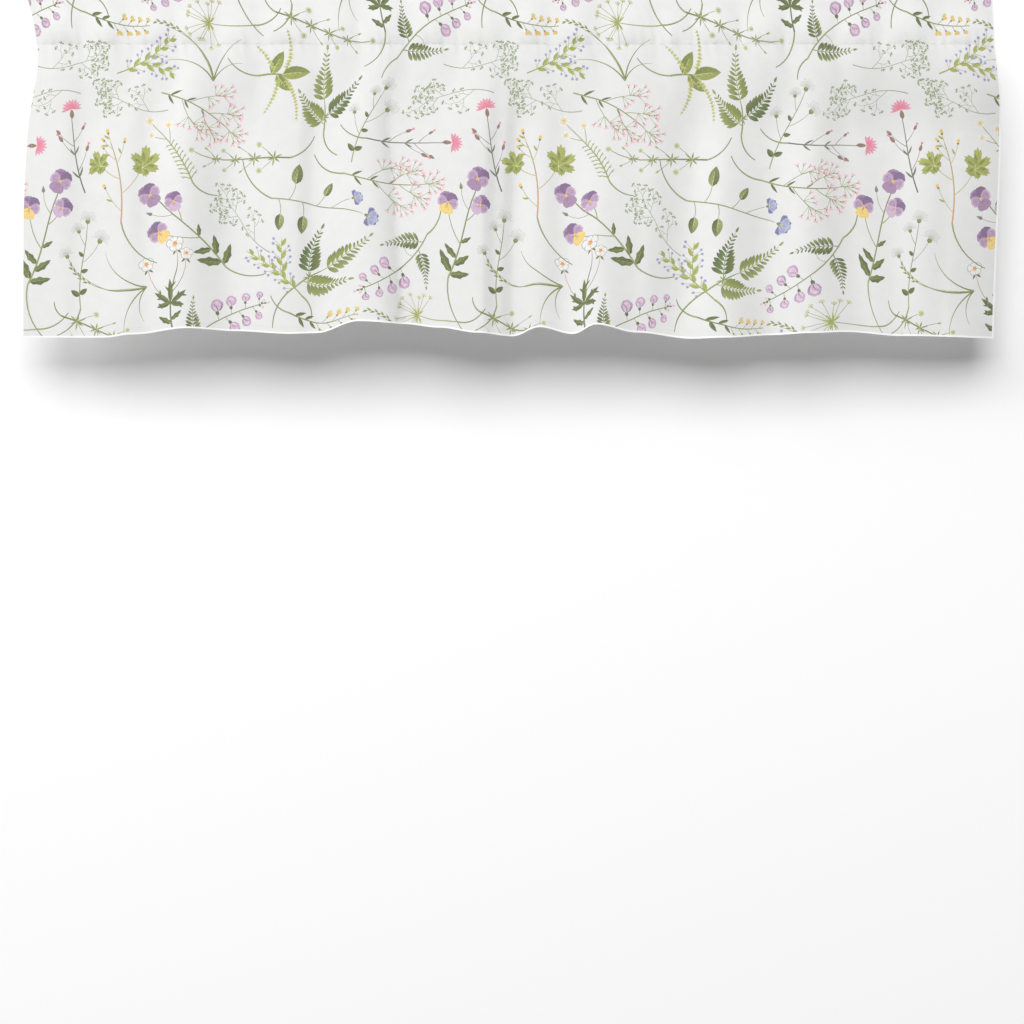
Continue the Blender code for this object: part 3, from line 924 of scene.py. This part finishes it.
# %% The block
BLOCK = (500, 350)
ENLARGED = 1.125
PLACES = (
    # sprig, x, y, heading, mirrored, length and bend of the tail that it trails
    (viola_sprig, 7, 287, 79, True, 70, -60),
    (viola_sprig, 243, 302, 143, True, 50, -60),
    (catkin_spray, 22, 179, 2, False, 46, -60),
    (berry_sprig, 333, 270, 142, False, 30, -60),
    (berry_sprig, 349, 182, 31, False, 0, 60),
    (cleaver_sprig, 68, 83, 192, False, 40, 60),
    (cleaver_sprig, 48, 251, 329, True, 20, 60),
    (flax_sprig, 47, 35, 339, True, 60, 60),
    (campion_sprig, 165, 101, 3, True, 40, 60),
    (campion_sprig, 324, 44, 99, False, 0, -60),
    (white_sprig, 179, 228, 85, False, 50, -60),
    (grass_sprig, 467, 172, 107, True, 0, 60),
    (grass_sprig, 149, 281, 190, False, 0, -60),
    (haze_sprig, 417, 138, 172, True, 0, 60),
    (haze_sprig, 248, 192, 359, False, 0, -60),
    (haze_sprig, 309, 159, 181, False, 0, -60),
    (haze_sprig, 296, 321, 136, True, 0, -60),
    (vetch_sprig, 482, 338, 215, True, 46, -60),
    (vetch_sprig, 192, 199, 28, True, 30, -60),
    (fern_sprig, 326, 282, 30, True, 60, -60),
    (fern_sprig, 108, 111, 92, False, 36, 60),
    (buttercup_sprig, 368, 9, 100, False, 70, 60),
    (pink_spray, 135, 58, 353, False, 50, -60),
    (pink_spray, 406, 159, 334, True, 0, -60),
    (puff_sprig, 70, 260, 78, False, 44, -60),
    (puff_sprig, 144, 71, 58, False, 0, -60),
    (daisy_sprig, 453, 50, 126, True, 34, -60),
    (star_umbel, 18, 236, 177, True, 44, -60),
    (snap_sprig, 317, 251, 348, False, 30, -60),
)


def draw_repeat():
    """Every shape of the block, in the order in which it is printed."""
    block = []
    for sprig, x, y, heading, mirrored, length, bend in PLACES:
        drawn.clear()
        if length:
            stroke(spine(0j, -90, length, bend), 2.0, 1.0, STALK, MOSS)
        sprig()
        swing = turn(heading - 90)
        for points, near, far, start, end in drawn:
            moved = [ENLARGED * (complex(x, y) + swing * (-p.conjugate() if mirrored else p))
                     for p in (*points, start, end)]
            block.append((moved[:-2], near, far, moved[-2], moved[-1]))
    drawn.clear()
    return block


print(len(draw_repeat()), "shapes in one block")

# %% [markdown]
# ## Cutting the print into the cloth
#
# A print could be a picture wrapped on the cloth, but pixels blur when looked at closely. Here the flat
# cloth is triangulated along the outlines themselves: a constrained Delaunay triangulation takes every
# outline and every point of a plain grid, and returns triangles that no outline crosses. Each triangle
# then takes the colour of the uppermost shape that it lies in. The work grows with the square of the
# number of shapes, so the cloth is cut into strips, which are joined again afterwards. The pocket and the
# panel are two meshes that meet at the stitch line, as the two solids do, so that neither grows too heavy.
#
# The grid gives the cloth its folds. It is close in the pocket, at the stitch line and in the hems, and
# wide in between. The turned edge of a hem shows a little cloth that the print doesn't reach.

# %% The grid and the printed area
WIDE, LONG = 1000 * FLAT_WIDTH, 1000 * FLAT_LENGTH
BARE_EDGE = 2.4             # cloth at a hem's turned edge that the print doesn't reach
STRIPS = 24
SIDE_ZONE = 19.0            # the outermost stretch, where no column follows a crease
COLUMN, WALL_ROW, ROD_ROW, PANEL_ROW = 6.7, 10, 3.8, 12.5
SEAM_ROWS = (-8, -4, -1.5, 0, 1.5, 4, 8, 13, 19, 26)


def steps_between(low, high, step):
    count = max(1, round((high - low) / step))
    return [low + (high - low) * k / count for k in range(count)]


flat_line = np.linspace(0, FLAT_WIDTH, 1322)                # a millimetre apart
hem_steps = [0.0, BARE_EDGE, 5.0, 7.5, 9.0, 10.5, 13.0]
crease_u = [1000 * float(np.interp(x, column_at(flat_line), flat_line)) for x in CREASES[1:-1]]
stops = [SIDE_ZONE, *crease_u, WIDE - SIDE_ZONE]
grid_u = hem_steps + [u for a, b in zip(stops, stops[1:]) for u in steps_between(a, b, COLUMN)]
grid_u += [WIDE - SIDE_ZONE] + [WIDE - step for step in reversed(hem_steps)]
wall_mm, rod_mm, seam_mm = 1000 * WALL_LENGTH, 1000 * OVER_ROD, 1000 * SEAM_V
grid_v = ([0.0, 1.5, 4.0, 8.0] + steps_between(15.0, wall_mm, WALL_ROW)
          + steps_between(wall_mm, wall_mm + rod_mm, ROD_ROW)
          + steps_between(wall_mm + rod_mm, seam_mm + SEAM_ROWS[0], WALL_ROW)
          + [seam_mm + away for away in SEAM_ROWS[:-1]]
          + steps_between(seam_mm + SEAM_ROWS[-1], LONG - hem_steps[-1], PANEL_ROW)
          + [LONG - step for step in reversed(hem_steps)])
print(len(grid_u), "columns and", len(grid_v), "rows")


# %% Repeats on the cloth
def clipped(points, edge, keep_above, across):
    """The part of an outline on one side of a straight edge across x, or across y."""
    place = (lambda p: p.real) if across else (lambda p: p.imag)
    kept = []
    for here, after in zip(points, points[1:] + points[:1]):
        a, b = place(here) - edge, place(after) - edge
        if (a >= 0) == keep_above or a == 0:
            kept.append(here)
        if a * b < 0:
            meet = here + (after - here) * a / (a - b)
            kept.append(complex(edge, meet.imag) if across else complex(meet.real, edge))
    return kept


def within(outline, left, right, low, high):
    """The part of an outline inside a rectangle."""
    for edge, keep_above, across in ((left, True, True), (right, False, True),
                                     (low, True, False), (high, False, False)):
        outline = clipped(outline, edge, keep_above, across)
    return outline


def laid_repeats():
    """Every printed shape of the cloth. The blocks lie in rows, each shifted by half a block."""
    wide, high = (ENLARGED * size for size in BLOCK)
    shapes = []
    block = draw_repeat()
    for row in range(-4, 3):
        for column in range(-2, 5):
            shift = complex(column * wide + (row % 2) * wide / 2, row * high)
            for points, near, far, start, end in block:
                moved = [p + shift for p in points]
                if (max(p.real for p in moved) <= BARE_EDGE or min(p.real for p in moved) >= WIDE - BARE_EDGE
                        or max(p.imag for p in moved) <= BARE_EDGE - LONG or min(p.imag for p in moved) >= 0):
                    continue
                moved = within(moved, BARE_EDGE, WIDE - BARE_EDGE, BARE_EDGE - LONG, 0.0)
                if len(moved) > 2:
                    shapes.append((moved, near, far, start + shift, end + shift))
    return shapes


printed_shapes = laid_repeats()
print(len(printed_shapes), "shapes on the cloth,", sum(len(shape[0]) for shape in printed_shapes), "points")


# %% Outlines that the triangulation can fill
SHORTEST_SIDE = 0.02        # mm
SMALLEST_AREA = 0.001       # twice the square millimetres, as area_of counts them


def area_of(outline):
    """Twice the area inside an outline, below zero where it runs clockwise."""
    return sum((a.conjugate() * b).imag for a, b in zip(outline, outline[1:] + outline[:1]))


def started_inside(outline, left, right, low, high):
    """The outline run anticlockwise, and begun on a side that doesn't lie on the edge of the strip,
    because the triangulation fills whatever lies left of the first side."""
    if area_of(outline) < 0:
        outline = outline[::-1]
    for k, (a, b) in enumerate(zip(outline, outline[1:] + outline[:1])):
        on_edge = ((a.real == b.real and a.real in (left, right))
                   or (a.imag == b.imag and a.imag in (low, high)))
        if not on_edge and abs(b - a) > SHORTEST_SIDE:
            return outline[k:] + outline[:k]
    return outline


# %% Triangles and inks of one strip
def linear(inks):
    """Screen values as the linear light that a shader works in."""
    share = np.asarray(inks, float) / 255
    return np.where(share <= 0.04045, share / 12.92, ((share + 0.055) / 1.055) ** 2.4)


def cut_strip(left, right, top, bottom):
    """Flat points, triangles and the ink at each corner, between two columns and two rows of the grid.
    Alpha is 1 on ink, a half on the cloth between the motifs and 0 on its bare edge."""
    points = [complex(u, -v) for u in grid_u if left <= u <= right for v in grid_v if top <= v <= bottom]
    west, east = max(left, BARE_EDGE), min(right, WIDE - BARE_EDGE)
    south = max(-bottom, BARE_EDGE - LONG)
    outlines = [[complex(west, south), complex(east, south), complex(east, -top), complex(west, -top)]]
    inks = [None]
    for shape in printed_shapes:
        outline = within(shape[0], left, right, -bottom, -top)
        if len(outline) > 2 and abs(area_of(outline)) > SMALLEST_AREA:
            outlines.append(started_inside(outline, left, right, -bottom, -top))
            inks.append(shape)
    faces = []
    for outline in outlines:
        faces.append(list(range(len(points), len(points) + len(outline))))
        points += outline
    found = delaunay_2d_cdt([Vector((p.real - left, p.imag)) for p in points], [], faces, 0, 1e-4, True)
    flat = np.array([(p.x + left, p.y) for p in found[0]])
    triangles = np.array(found[2])
    colours = np.zeros((len(triangles), 3, 4))
    for k, on in enumerate(found[5]):
        top_shape = max(on) if on else -1
        if top_shape <= 0:
            colours[k, :, 3] = (top_shape + 1) / 2
            continue
        _, near, far, start, end = inks[top_shape]
        for corner, p in enumerate(flat[triangles[k]]):
            share = ((complex(*p) - start) / (end - start)).real
            share = min(max(share, 0.0), 1.0)
            colours[k, corner] = [*(n + (f - n) * share for n, f in zip(near, far)), 1.0]
    return flat, triangles, colours


# %% Cutting every strip of a piece
ON_EDGE, ON_STRIP = 3e-6, 2e-6      # metres within which a point lies on a piece's or a strip's edge
WELD = 2e-5                         # and within which two points are one
strip_edges = [grid_u[round(k * (len(grid_u) - 1) / STRIPS)] for k in range(STRIPS + 1)]


def cut_piece(name, top, bottom):
    """A flat mesh of one piece of the cloth, in metres, with u as x, -v as y and its inks."""
    places, corners, inks, count = [], [], [], 0
    for left, right in zip(strip_edges, strip_edges[1:]):
        flat, triangles, colours = cut_strip(left, right, top, bottom)
        places.append(flat)
        corners.append(triangles + count)
        inks.append(colours)
        count += len(flat)
    places, corners = np.concatenate(places) / 1000, np.concatenate(corners)
    inks = np.concatenate(inks).reshape(-1, 4)
    inks[:, :3] = linear(inks[:, :3])
    mesh = bpy.data.meshes.new(name)
    mesh.from_pydata([(x, y, 0) for x, y in places], [], corners.tolist())
    layer = mesh.color_attributes.new("ink", "FLOAT_COLOR", "CORNER")
    layer.data.foreach_set("color", inks.astype(np.float32).ravel())
    joined = bmesh.new()
    joined.from_mesh(mesh)
    inner = [edge / 1000 for edge in strip_edges[1:-1]]
    on_strip = [vert for vert in joined.verts if min(abs(vert.co.x - edge) for edge in inner) < ON_STRIP]
    bmesh.ops.remove_doubles(joined, verts=on_strip, dist=WELD)
    loose = [vert for vert in joined.verts if not vert.link_faces]
    bmesh.ops.delete(joined, geom=loose, context="VERTS")
    rims = [edge for edge in joined.edges if len(edge.link_faces) != 2]
    inside = [edge for edge in rims if not on_outline(edge, top / 1000, bottom / 1000)]
    bmesh.ops.holes_fill(joined, edges=inside, sides=4)
    inside = [edge for edge in joined.edges if len(edge.link_faces) != 2
              and not on_outline(edge, top / 1000, bottom / 1000)]
    print(f"{name}: {len(joined.verts)} points, {len(joined.faces)} triangles, "
          f"{len(rims)} edges round it, {len(inside)} open edges inside it")
    joined.to_mesh(mesh)
    joined.free()
    return mesh


def on_outline(edge, top, bottom):
    """Whether both ends of an edge lie on one side of the flat piece."""
    a, b = (vert.co for vert in edge.verts)
    return any(abs(a[axis] - value) < ON_EDGE and abs(b[axis] - value) < ON_EDGE
               for axis, value in ((0, 0), (0, FLAT_WIDTH), (1, -top), (1, -bottom)))


flat_pocket = cut_piece("rod_pocket_cloth", 0.0, seam_mm)
flat_panel = cut_piece("drop_panel_cloth", seam_mm, LONG)

# %% [markdown]
# ## Hanging the print and closing the cloth
#
# Every flat point now moves to where it hangs. That gives the printed face, an open surface. The back of
# the cloth carries no print, so it can be a much coarser sheet: only the points round its edge have to
# match. It lies one thickness behind the face, and two in the hems, where the cloth is turned over.
# Bridging the two edges closes each piece.

# %% The back of a piece
HEM_TURN = 0.0015           # width over which the back steps down from a hem
BACK_HEM = (7.5, 9.0, 10.0, 11.5, 13.0)
SIDE_COLUMNS = 15           # no other column of the back lies so near to a side


def layers(u, v):
    """How many layers of cloth lie behind a point of the printed face."""
    to_side = np.minimum(u, FLAT_WIDTH - u)
    in_side_hem = 1 - ease((to_side - HEM_DEPTH) / HEM_TURN)
    in_bottom_hem = 1 - ease((FLAT_LENGTH - v - HEM_DEPTH) / HEM_TURN)
    near_seam = ease((np.abs(v - SEAM_V) - 0.002) / 0.006) * ease((v - 0.002) / 0.006)
    return 1 + np.maximum(in_side_hem * near_seam, in_bottom_hem)


def back_of(flat, top, bottom):
    """A coarse flat sheet with the same edge points as the printed one."""
    rim = [vert for vert in flat.vertices
           if min(vert.co.x, FLAT_WIDTH - vert.co.x, -top - vert.co.y, vert.co.y + bottom) < ON_EDGE]
    points = [vert.co.xy for vert in rim]
    hem = [value / 1000 for value in BACK_HEM]
    columns = hem + [value / 1000 for value in grid_u if SIDE_COLUMNS < value < WIDE - SIDE_COLUMNS]
    columns += [FLAT_WIDTH - value for value in hem]
    rows = [value / 1000 for value in grid_v if top < value / 1000 < bottom]
    points += [Vector((u, -v)) for u in columns for v in rows]
    found = delaunay_2d_cdt(points, [], [], 0, 1e-7, True)
    print(f"back: {len(rim)} edge points, {len(found[2])} triangles")
    return np.array([(p.x, p.y) for p in found[0]]), found[2]


def hung_piece(flat, top, bottom, printed, reverse):
    """The closed, hung piece made from a flat one."""
    front = np.array([vert.co.xy for vert in flat.vertices])
    u, v = np.clip(front[:, 0], 0, FLAT_WIDTH), np.clip(-front[:, 1], top, bottom)
    front_places, front_normals = hang(u, v), facing(u, v)
    back, back_triangles = back_of(flat, top, bottom)
    back_u, back_v = np.clip(back[:, 0], 0, FLAT_WIDTH), np.clip(-back[:, 1], top, bottom)
    back_normals = facing(back_u, back_v)
    back_places = hang(back_u, back_v) - back_normals * (CLOTH * layers(back_u, back_v))[:, None]

    sewn = bmesh.new()
    sewn.from_mesh(flat)
    front_rim = [edge for edge in sewn.edges if len(edge.link_faces) == 1 and on_outline(edge, top, bottom)]
    for vert, place in zip(sewn.verts, front_places):
        vert.co = place
    ink = sewn.loops.layers.float_color["ink"]
    chart = sewn.loops.layers.uv.new("flat cloth")
    places_uv = dict(zip(sewn.verts, zip(u, v)))
    new = [sewn.verts.new(place) for place in back_places]
    places_uv.update(zip(new, zip(back_u, back_v)))
    back_faces = [sewn.faces.new([new[k] for k in reversed(triangle)]) for triangle in back_triangles]
    back_rim = [edge for edge in {edge for face in back_faces for edge in face.edges}
                if len(edge.link_faces) == 1]
    turned = bmesh.ops.bridge_loops(sewn, edges=front_rim + back_rim)["faces"]
    for faces, slot, alpha in ((turned, 0, 0), (back_faces, 1, 0.5)):
        for face in faces:
            face.material_index = slot
            for loop in face.loops:
                loop[ink] = (0, 0, 0, alpha)
    for face in sewn.faces:
        face.smooth = True
        for loop in face.loops:
            loop[chart].uv = places_uv[loop.vert]
    open_edges = sum(len(edge.link_faces) != 2 for edge in sewn.edges)
    volume = sewn.calc_volume(signed=True)
    sewn.verts.index_update()
    sewn.to_mesh(flat)
    print(f"{flat.name}: {len(sewn.faces)} faces, {open_edges} open edges, "
          f"mean thickness {volume / ((bottom - top) * FLAT_WIDTH) * 1000:.2f} mm")
    sewn.free()
    flat.materials.append(printed)
    flat.materials.append(reverse)
    flat.normals_split_custom_set_from_vertices(np.concatenate((front_normals, -back_normals)))
    return placed(flat)


# %% [markdown]
# ## The cloth's materials
#
# The cloth is a light plain weave of polyester. Close to, its threads show as a fine grid, with thicker
# ones here and there, and all of it lies in the flat coordinates, so the weave bends with the folds. The
# ink soaks in, so it has the cloth's own dull surface, and its tone wavers a little, as a brushed tint
# does. The back is the same weave with no print. In the pocket the tones are painted lighter, as painted
# light: for the two layers there that let less light through, and against the shade on the pocket's
# front, which faces a little downward from the lamp above.

# %% Nodes
def adjust(made, feeds=(), **values):
    """Give a node its settings, and its inputs by name or in order. Another node's output is linked in."""
    inputs = list(enumerate(feeds))
    for name, value in values.items():
        if name.replace("_", " ") in made.inputs:
            inputs.append((name.replace("_", " "), value))
        else:
            setattr(made, name, value)
    for place, value in inputs:
        if isinstance(value, bpy.types.NodeSocket):
            made.id_data.links.new(value, made.inputs[place])
        else:
            made.inputs[place].default_value = value
    return made


def node(tree, kind, *feeds, **values):
    return adjust(tree.nodes.new("ShaderNode" + kind), feeds, **values)


def noise(tree, chart, scale, detail, roughness):
    made = node(tree, "TexNoise", Vector=chart, Scale=scale, Detail=detail, Roughness=roughness)
    return made.outputs["Fac"]


def mapped(tree, value, *ends):
    """A value between the first two ends, brought between the last two."""
    return node(tree, "MapRange", value, *ends).outputs["Result"]


def ramp(tree, share, tones, places=(0.0, 1.0)):
    """A blend of two tones, as share runs between two places."""
    made = node(tree, "ValToRGB", share)
    for element, place, tone in zip(made.color_ramp.elements, places, tones):
        element.position, element.color = place, (*tone, 1)
    return made.outputs["Color"]


def new_material(name, **values):
    """A material, its tree and its shader, with plain values on the shader's own sockets."""
    material = bpy.data.materials.new(name)
    material.use_nodes = True
    return material, material.node_tree, adjust(material.node_tree.nodes["Principled BSDF"], **values)


# %% Weave and ink
SINGLE_TONES = ((0.744, 0.742, 0.738), (0.772, 0.770, 0.766))
# the pocket's tones are painted lighter: painted light for two layers and against the shade on its
# downward-facing front
POCKET_PAINTED_LIGHT_TONES = ((0.828, 0.826, 0.821), (0.854, 0.852, 0.847))
# the bare edges and the turned rims are painted much whiter than the cloth between the motifs
BARE_TONE = (0.93, 0.93, 0.925)
INK_STRENGTH = 0.92
THREAD_PITCH = 0.00035


def weave_height(tree, chart):
    """Threads of both directions, with slubs along each."""
    total = None
    for angle in (0, math.pi / 2):
        turned = node(tree, "Mapping", Vector=chart, Rotation=(0, 0, angle)).outputs["Vector"]
        threads = node(tree, "TexWave", Vector=turned, wave_type="BANDS", bands_direction="X",
                       wave_profile="SIN", Scale=0.05 / THREAD_PITCH * 6.28, Distortion=0.4, Detail=1.0)
        stretched = node(tree, "Mapping", Vector=chart, Rotation=(0, 0, angle), Scale=(900, 26, 1))
        slubs = noise(tree, stretched.outputs["Vector"], 1.0, 2.0, 0.6)
        both = node(tree, "Math", slubs, 0.6, threads.outputs["Fac"], operation="MULTIPLY_ADD").outputs[0]
        total = both if total is None else node(tree, "Math", total, both, operation="ADD").outputs[0]
    return total


def cloth_material(name, printed, tones):
    material, tree, shader = new_material(name, Roughness=0.86, Specular_IOR_Level=0.22, Sheen_Weight=0.10,
                                          Sheen_Roughness=0.45)
    chart = node(tree, "UVMap", uv_map="flat cloth").outputs["UV"]
    bump = node(tree, "Bump", Strength=0.25, Distance=0.00006, Height=weave_height(tree, chart))
    colour = ramp(tree, noise(tree, chart, 55.0, 3.0, 0.55), tones, (0.3, 0.7))
    if printed:
        ink = node(tree, "Attribute", attribute_name="ink")
        brushed = mapped(tree, noise(tree, chart, 420.0, 4.0, 0.65), 0.3, 0.7, 0.80, 1.24)
        toned = node(tree, "VectorMath", ink.outputs["Color"], operation="SCALE", Scale=brushed)
        on_ink = mapped(tree, ink.outputs["Alpha"], 0.7, 0.8, 0.0, INK_STRENGTH)
        inked = node(tree, "Mix", data_type="RGBA", Factor=on_ink, A=colour, B=toned.outputs["Vector"])
        is_bare = mapped(tree, ink.outputs["Alpha"], 0.2, 0.3, 1.0, 0.0)
        colour = node(tree, "Mix", data_type="RGBA", Factor=is_bare, A=inked.outputs["Result"],
                      B=(*BARE_TONE, 1)).outputs["Result"]
    adjust(shader, Base_Color=colour, Normal=bump.outputs["Normal"])
    return material


printed_weave = cloth_material("printed weave", True, SINGLE_TONES)
# the pocket's material, whose tones are painted lighter to stand in for light
pocket_weave_painted_lighter = cloth_material("printed weave of the pocket, painted lighter", True, POCKET_PAINTED_LIGHT_TONES)
plain_weave = cloth_material("plain weave back", False, SINGLE_TONES)

pocket = hung_piece(flat_pocket, 0.0, SEAM_V, pocket_weave_painted_lighter, plain_weave)
panel = hung_piece(flat_panel, SEAM_V, FLAT_LENGTH, printed_weave, plain_weave)

# %% [markdown]
# ## Stitches
#
# The seam and the hems are held by lock stitches: short, plump lengths of white thread with a small gap
# between them, each one pulled a little into the cloth. One row closes the pocket and shows on its front
# and its back, one runs along the bottom hem and one down each side hem. A stitch is a small ball drawn
# out along its row, because there are more than a thousand of them.

# %% Rows of stitches
STITCH_PITCH, STITCH_LENGTH, THREAD = 0.0032, 0.0025, 0.00042


def stitch_row(work, u_row, v_row):
    """Stitches at each u and v of a row, laid along it."""
    u_row, v_row = np.asarray(u_row, float), np.asarray(v_row, float)
    places, normals = hang(u_row, v_row), facing(u_row, v_row)
    lengthwise = np.gradient(places, axis=0)
    lengthwise /= np.linalg.norm(lengthwise, axis=1, keepdims=True)
    for place, along_row, outward in zip(places, lengthwise, normals):
        across_row = np.cross(outward, along_row)
        laid = np.eye(4)
        laid[:3] = np.stack((along_row * STITCH_LENGTH / 2, across_row * THREAD / 2, outward * THREAD * 0.4,
                             place + outward * THREAD * 0.12), axis=1)
        bmesh.ops.create_icosphere(work, subdivisions=1, radius=1.0, matrix=Matrix(laid.tolist()))
    return len(places)


thread_work = bmesh.new()
along_width = np.arange(0.002, FLAT_WIDTH - 0.001, STITCH_PITCH)
down_sides = np.arange(0.004, FLAT_LENGTH - 0.002, STITCH_PITCH)
for row, u_row, v_row in (
        ("seam, front", along_width, SEAM_V - 0.0012), ("seam, back", along_width, 0.0022),
        ("bottom hem", along_width, FLAT_LENGTH - HEM_DEPTH + 0.001),
        ("left hem", HEM_DEPTH - 0.001, down_sides),
        ("right hem", FLAT_WIDTH - HEM_DEPTH + 0.001, down_sides)):
    print(row, stitch_row(thread_work, *np.broadcast_arrays(u_row, v_row)), "stitches")
for face in thread_work.faces:
    face.smooth = True
bmesh.ops.recalc_face_normals(thread_work, faces=thread_work.faces)
stitches = placed(mesh_from("stitches", thread_work))
print("stitches:", len(stitches.data.polygons), "faces")


# %% Thread
def thread_material():
    """White polyester thread: two plies twisted together, slightly shiny."""
    material, tree, shader = new_material("white sewing thread", Roughness=0.55, Sheen_Weight=0.2)
    plies = node(tree, "TexWave", Vector=node(tree, "TexCoord").outputs["Object"], wave_type="BANDS",
                 bands_direction="DIAGONAL", Scale=900.0, Distortion=0.6).outputs["Fac"]
    bump = node(tree, "Bump", Strength=0.4, Distance=0.00005, Height=plies)
    adjust(shader, Base_Color=ramp(tree, plies, ((0.74, 0.74, 0.73), (0.90, 0.90, 0.89))),
           Normal=bump.outputs["Normal"])
    return material


stitches.data.materials.append(thread_material())

# %% [markdown]
# ## The frame's ties
#
# Each piece is tied to the body it moves with, and the two solids that the cloth stands for are hidden.

# %% Pieces on the frame
for piece in (pocket, panel, stitches):
    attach(piece, "root")
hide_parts("rod_pocket")
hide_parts("drop_panel")

# %% [markdown]
# ## The room
#
# A white wall stands 82 mm behind the middle of the valance, and the cloth's soft shadow falls on it. A
# pale floor lies where a room's floor would, two metres below the hem. Seen from behind, the wall lets
# the view and the light through, so that the back of the valance can be looked at too. The floor shows,
# and glows a little so that it stays pale far from the lamps, but it is kept out of the diffuse bounces:
# so much pale floor would throw up so much light that the shadow under the hem would be lost.

# %% Wall and floor
WALL_Y = 0.082


def plain_sheet(name, width, depth, place, turned, material):
    work = bmesh.new()
    bmesh.ops.create_grid(work, x_segments=1, y_segments=1, size=0.5,
                          matrix=Matrix.Translation(place) @ Matrix.Rotation(turned, 4, "X")
                          @ Matrix.Diagonal((width, depth, 1, 1)))
    thing = placed(mesh_from(name, work))
    thing.data.materials.append(material)
    thing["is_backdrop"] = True
    return thing


def wall_paint():
    """White paint that only its front shows: the view from behind and the lamps' light pass through."""
    material, tree, shader = new_material("white wall paint", Base_Color=(0.98, 0.98, 0.98, 1),
                                          Roughness=0.95, Specular_IOR_Level=0.0)
    either = node(tree, "Math", node(tree, "NewGeometry").outputs["Backfacing"],
                  node(tree, "LightPath").outputs["Is Shadow Ray"], operation="MAXIMUM")
    mixed = node(tree, "MixShader", either.outputs[0], shader.outputs["BSDF"],
                 node(tree, "BsdfTransparent").outputs["BSDF"])
    adjust(tree.nodes["Material Output"], Surface=mixed.outputs["Shader"])
    return material


def floor_paint():
    return new_material("pale floor", Base_Color=(0.72, 0.72, 0.71, 1), Roughness=0.9,
                        Emission_Color=(1, 1, 1, 1), Emission_Strength=0.35)[0]


wall = plain_sheet("wall", 9, 9, (0, WALL_Y, 2.95), math.radians(90), wall_paint())
floor = plain_sheet("floor", 24, 24, (0, 0, -2.45), 0.0, floor_paint())
floor.visible_diffuse = False
print("the wall faces", [round(value, 2) for value in wall.data.polygons[0].normal])

# %% [markdown]
# ## Light
#
# A large soft window of light stands straight in front and high up. It gives every slope of a fold its
# own tone and throws the shadow under the hem straight down, and its size sets how soft that shadow's
# edge is. A weaker lamp on the left darkens the folds' right slopes a little more, another behind the
# wall lights the back, and a little even light fills in the rest. The even light is stronger to the
# camera than to the cloth, so that a view from the side has a pale background too.

# %% Lamps
HANG_MIDDLE = Vector((0, 0, -0.25))
EVEN_LIGHT, BACKDROP = 0.25, 0.80


def window_lamp(name, way, distance, width, height, power):
    """A flat soft lamp that looks at the middle of the valance from the way given."""
    lamp = bpy.data.lights.new(name, "AREA")
    lamp.shape, lamp.size, lamp.size_y, lamp.energy = "RECTANGLE", width, height, power
    stand, way = placed(lamp), Vector(way).normalized()
    stand.location = HANG_MIDDLE + way * distance
    stand.rotation_euler = (-way).to_track_quat("-Z", "Y").to_euler()


room = bpy.data.worlds.new("even light")
room.use_nodes = True
to_camera = node(room.node_tree, "LightPath").outputs["Is Camera Ray"]
adjust(room.node_tree.nodes["Background"], Color=(1, 1, 1, 1),
       Strength=mapped(room.node_tree, to_camera, 0.0, 1.0, EVEN_LIGHT, BACKDROP))
bpy.context.scene.world = room
window_lamp("front lamp", (-0.06, -0.76, 0.58), 10.0, 9.0, 7.0, 1020.0)
window_lamp("left lamp", (-0.70, -0.35, 0.50), 7.0, 4.0, 3.0, 240.0)
window_lamp("back lamp", (0.17, 0.94, 0.30), 5.3, 3.0, 3.0, 80.0)
bpy.context.scene.view_settings.view_transform = "Standard"

# %% [markdown]
# ## Sizes and the last line
#
# The dressed valance has to stay the size of its solids, so both boxes are printed together.

# %% Finish
boxes = {"solids": cad_box, "dressed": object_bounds()}
{name: [[float(value) for value in corner] for corner in box] for name, box in boxes.items()}
print({name: [[round(value, 4) for value in corner] for corner in box] for name, box in boxes.items()})
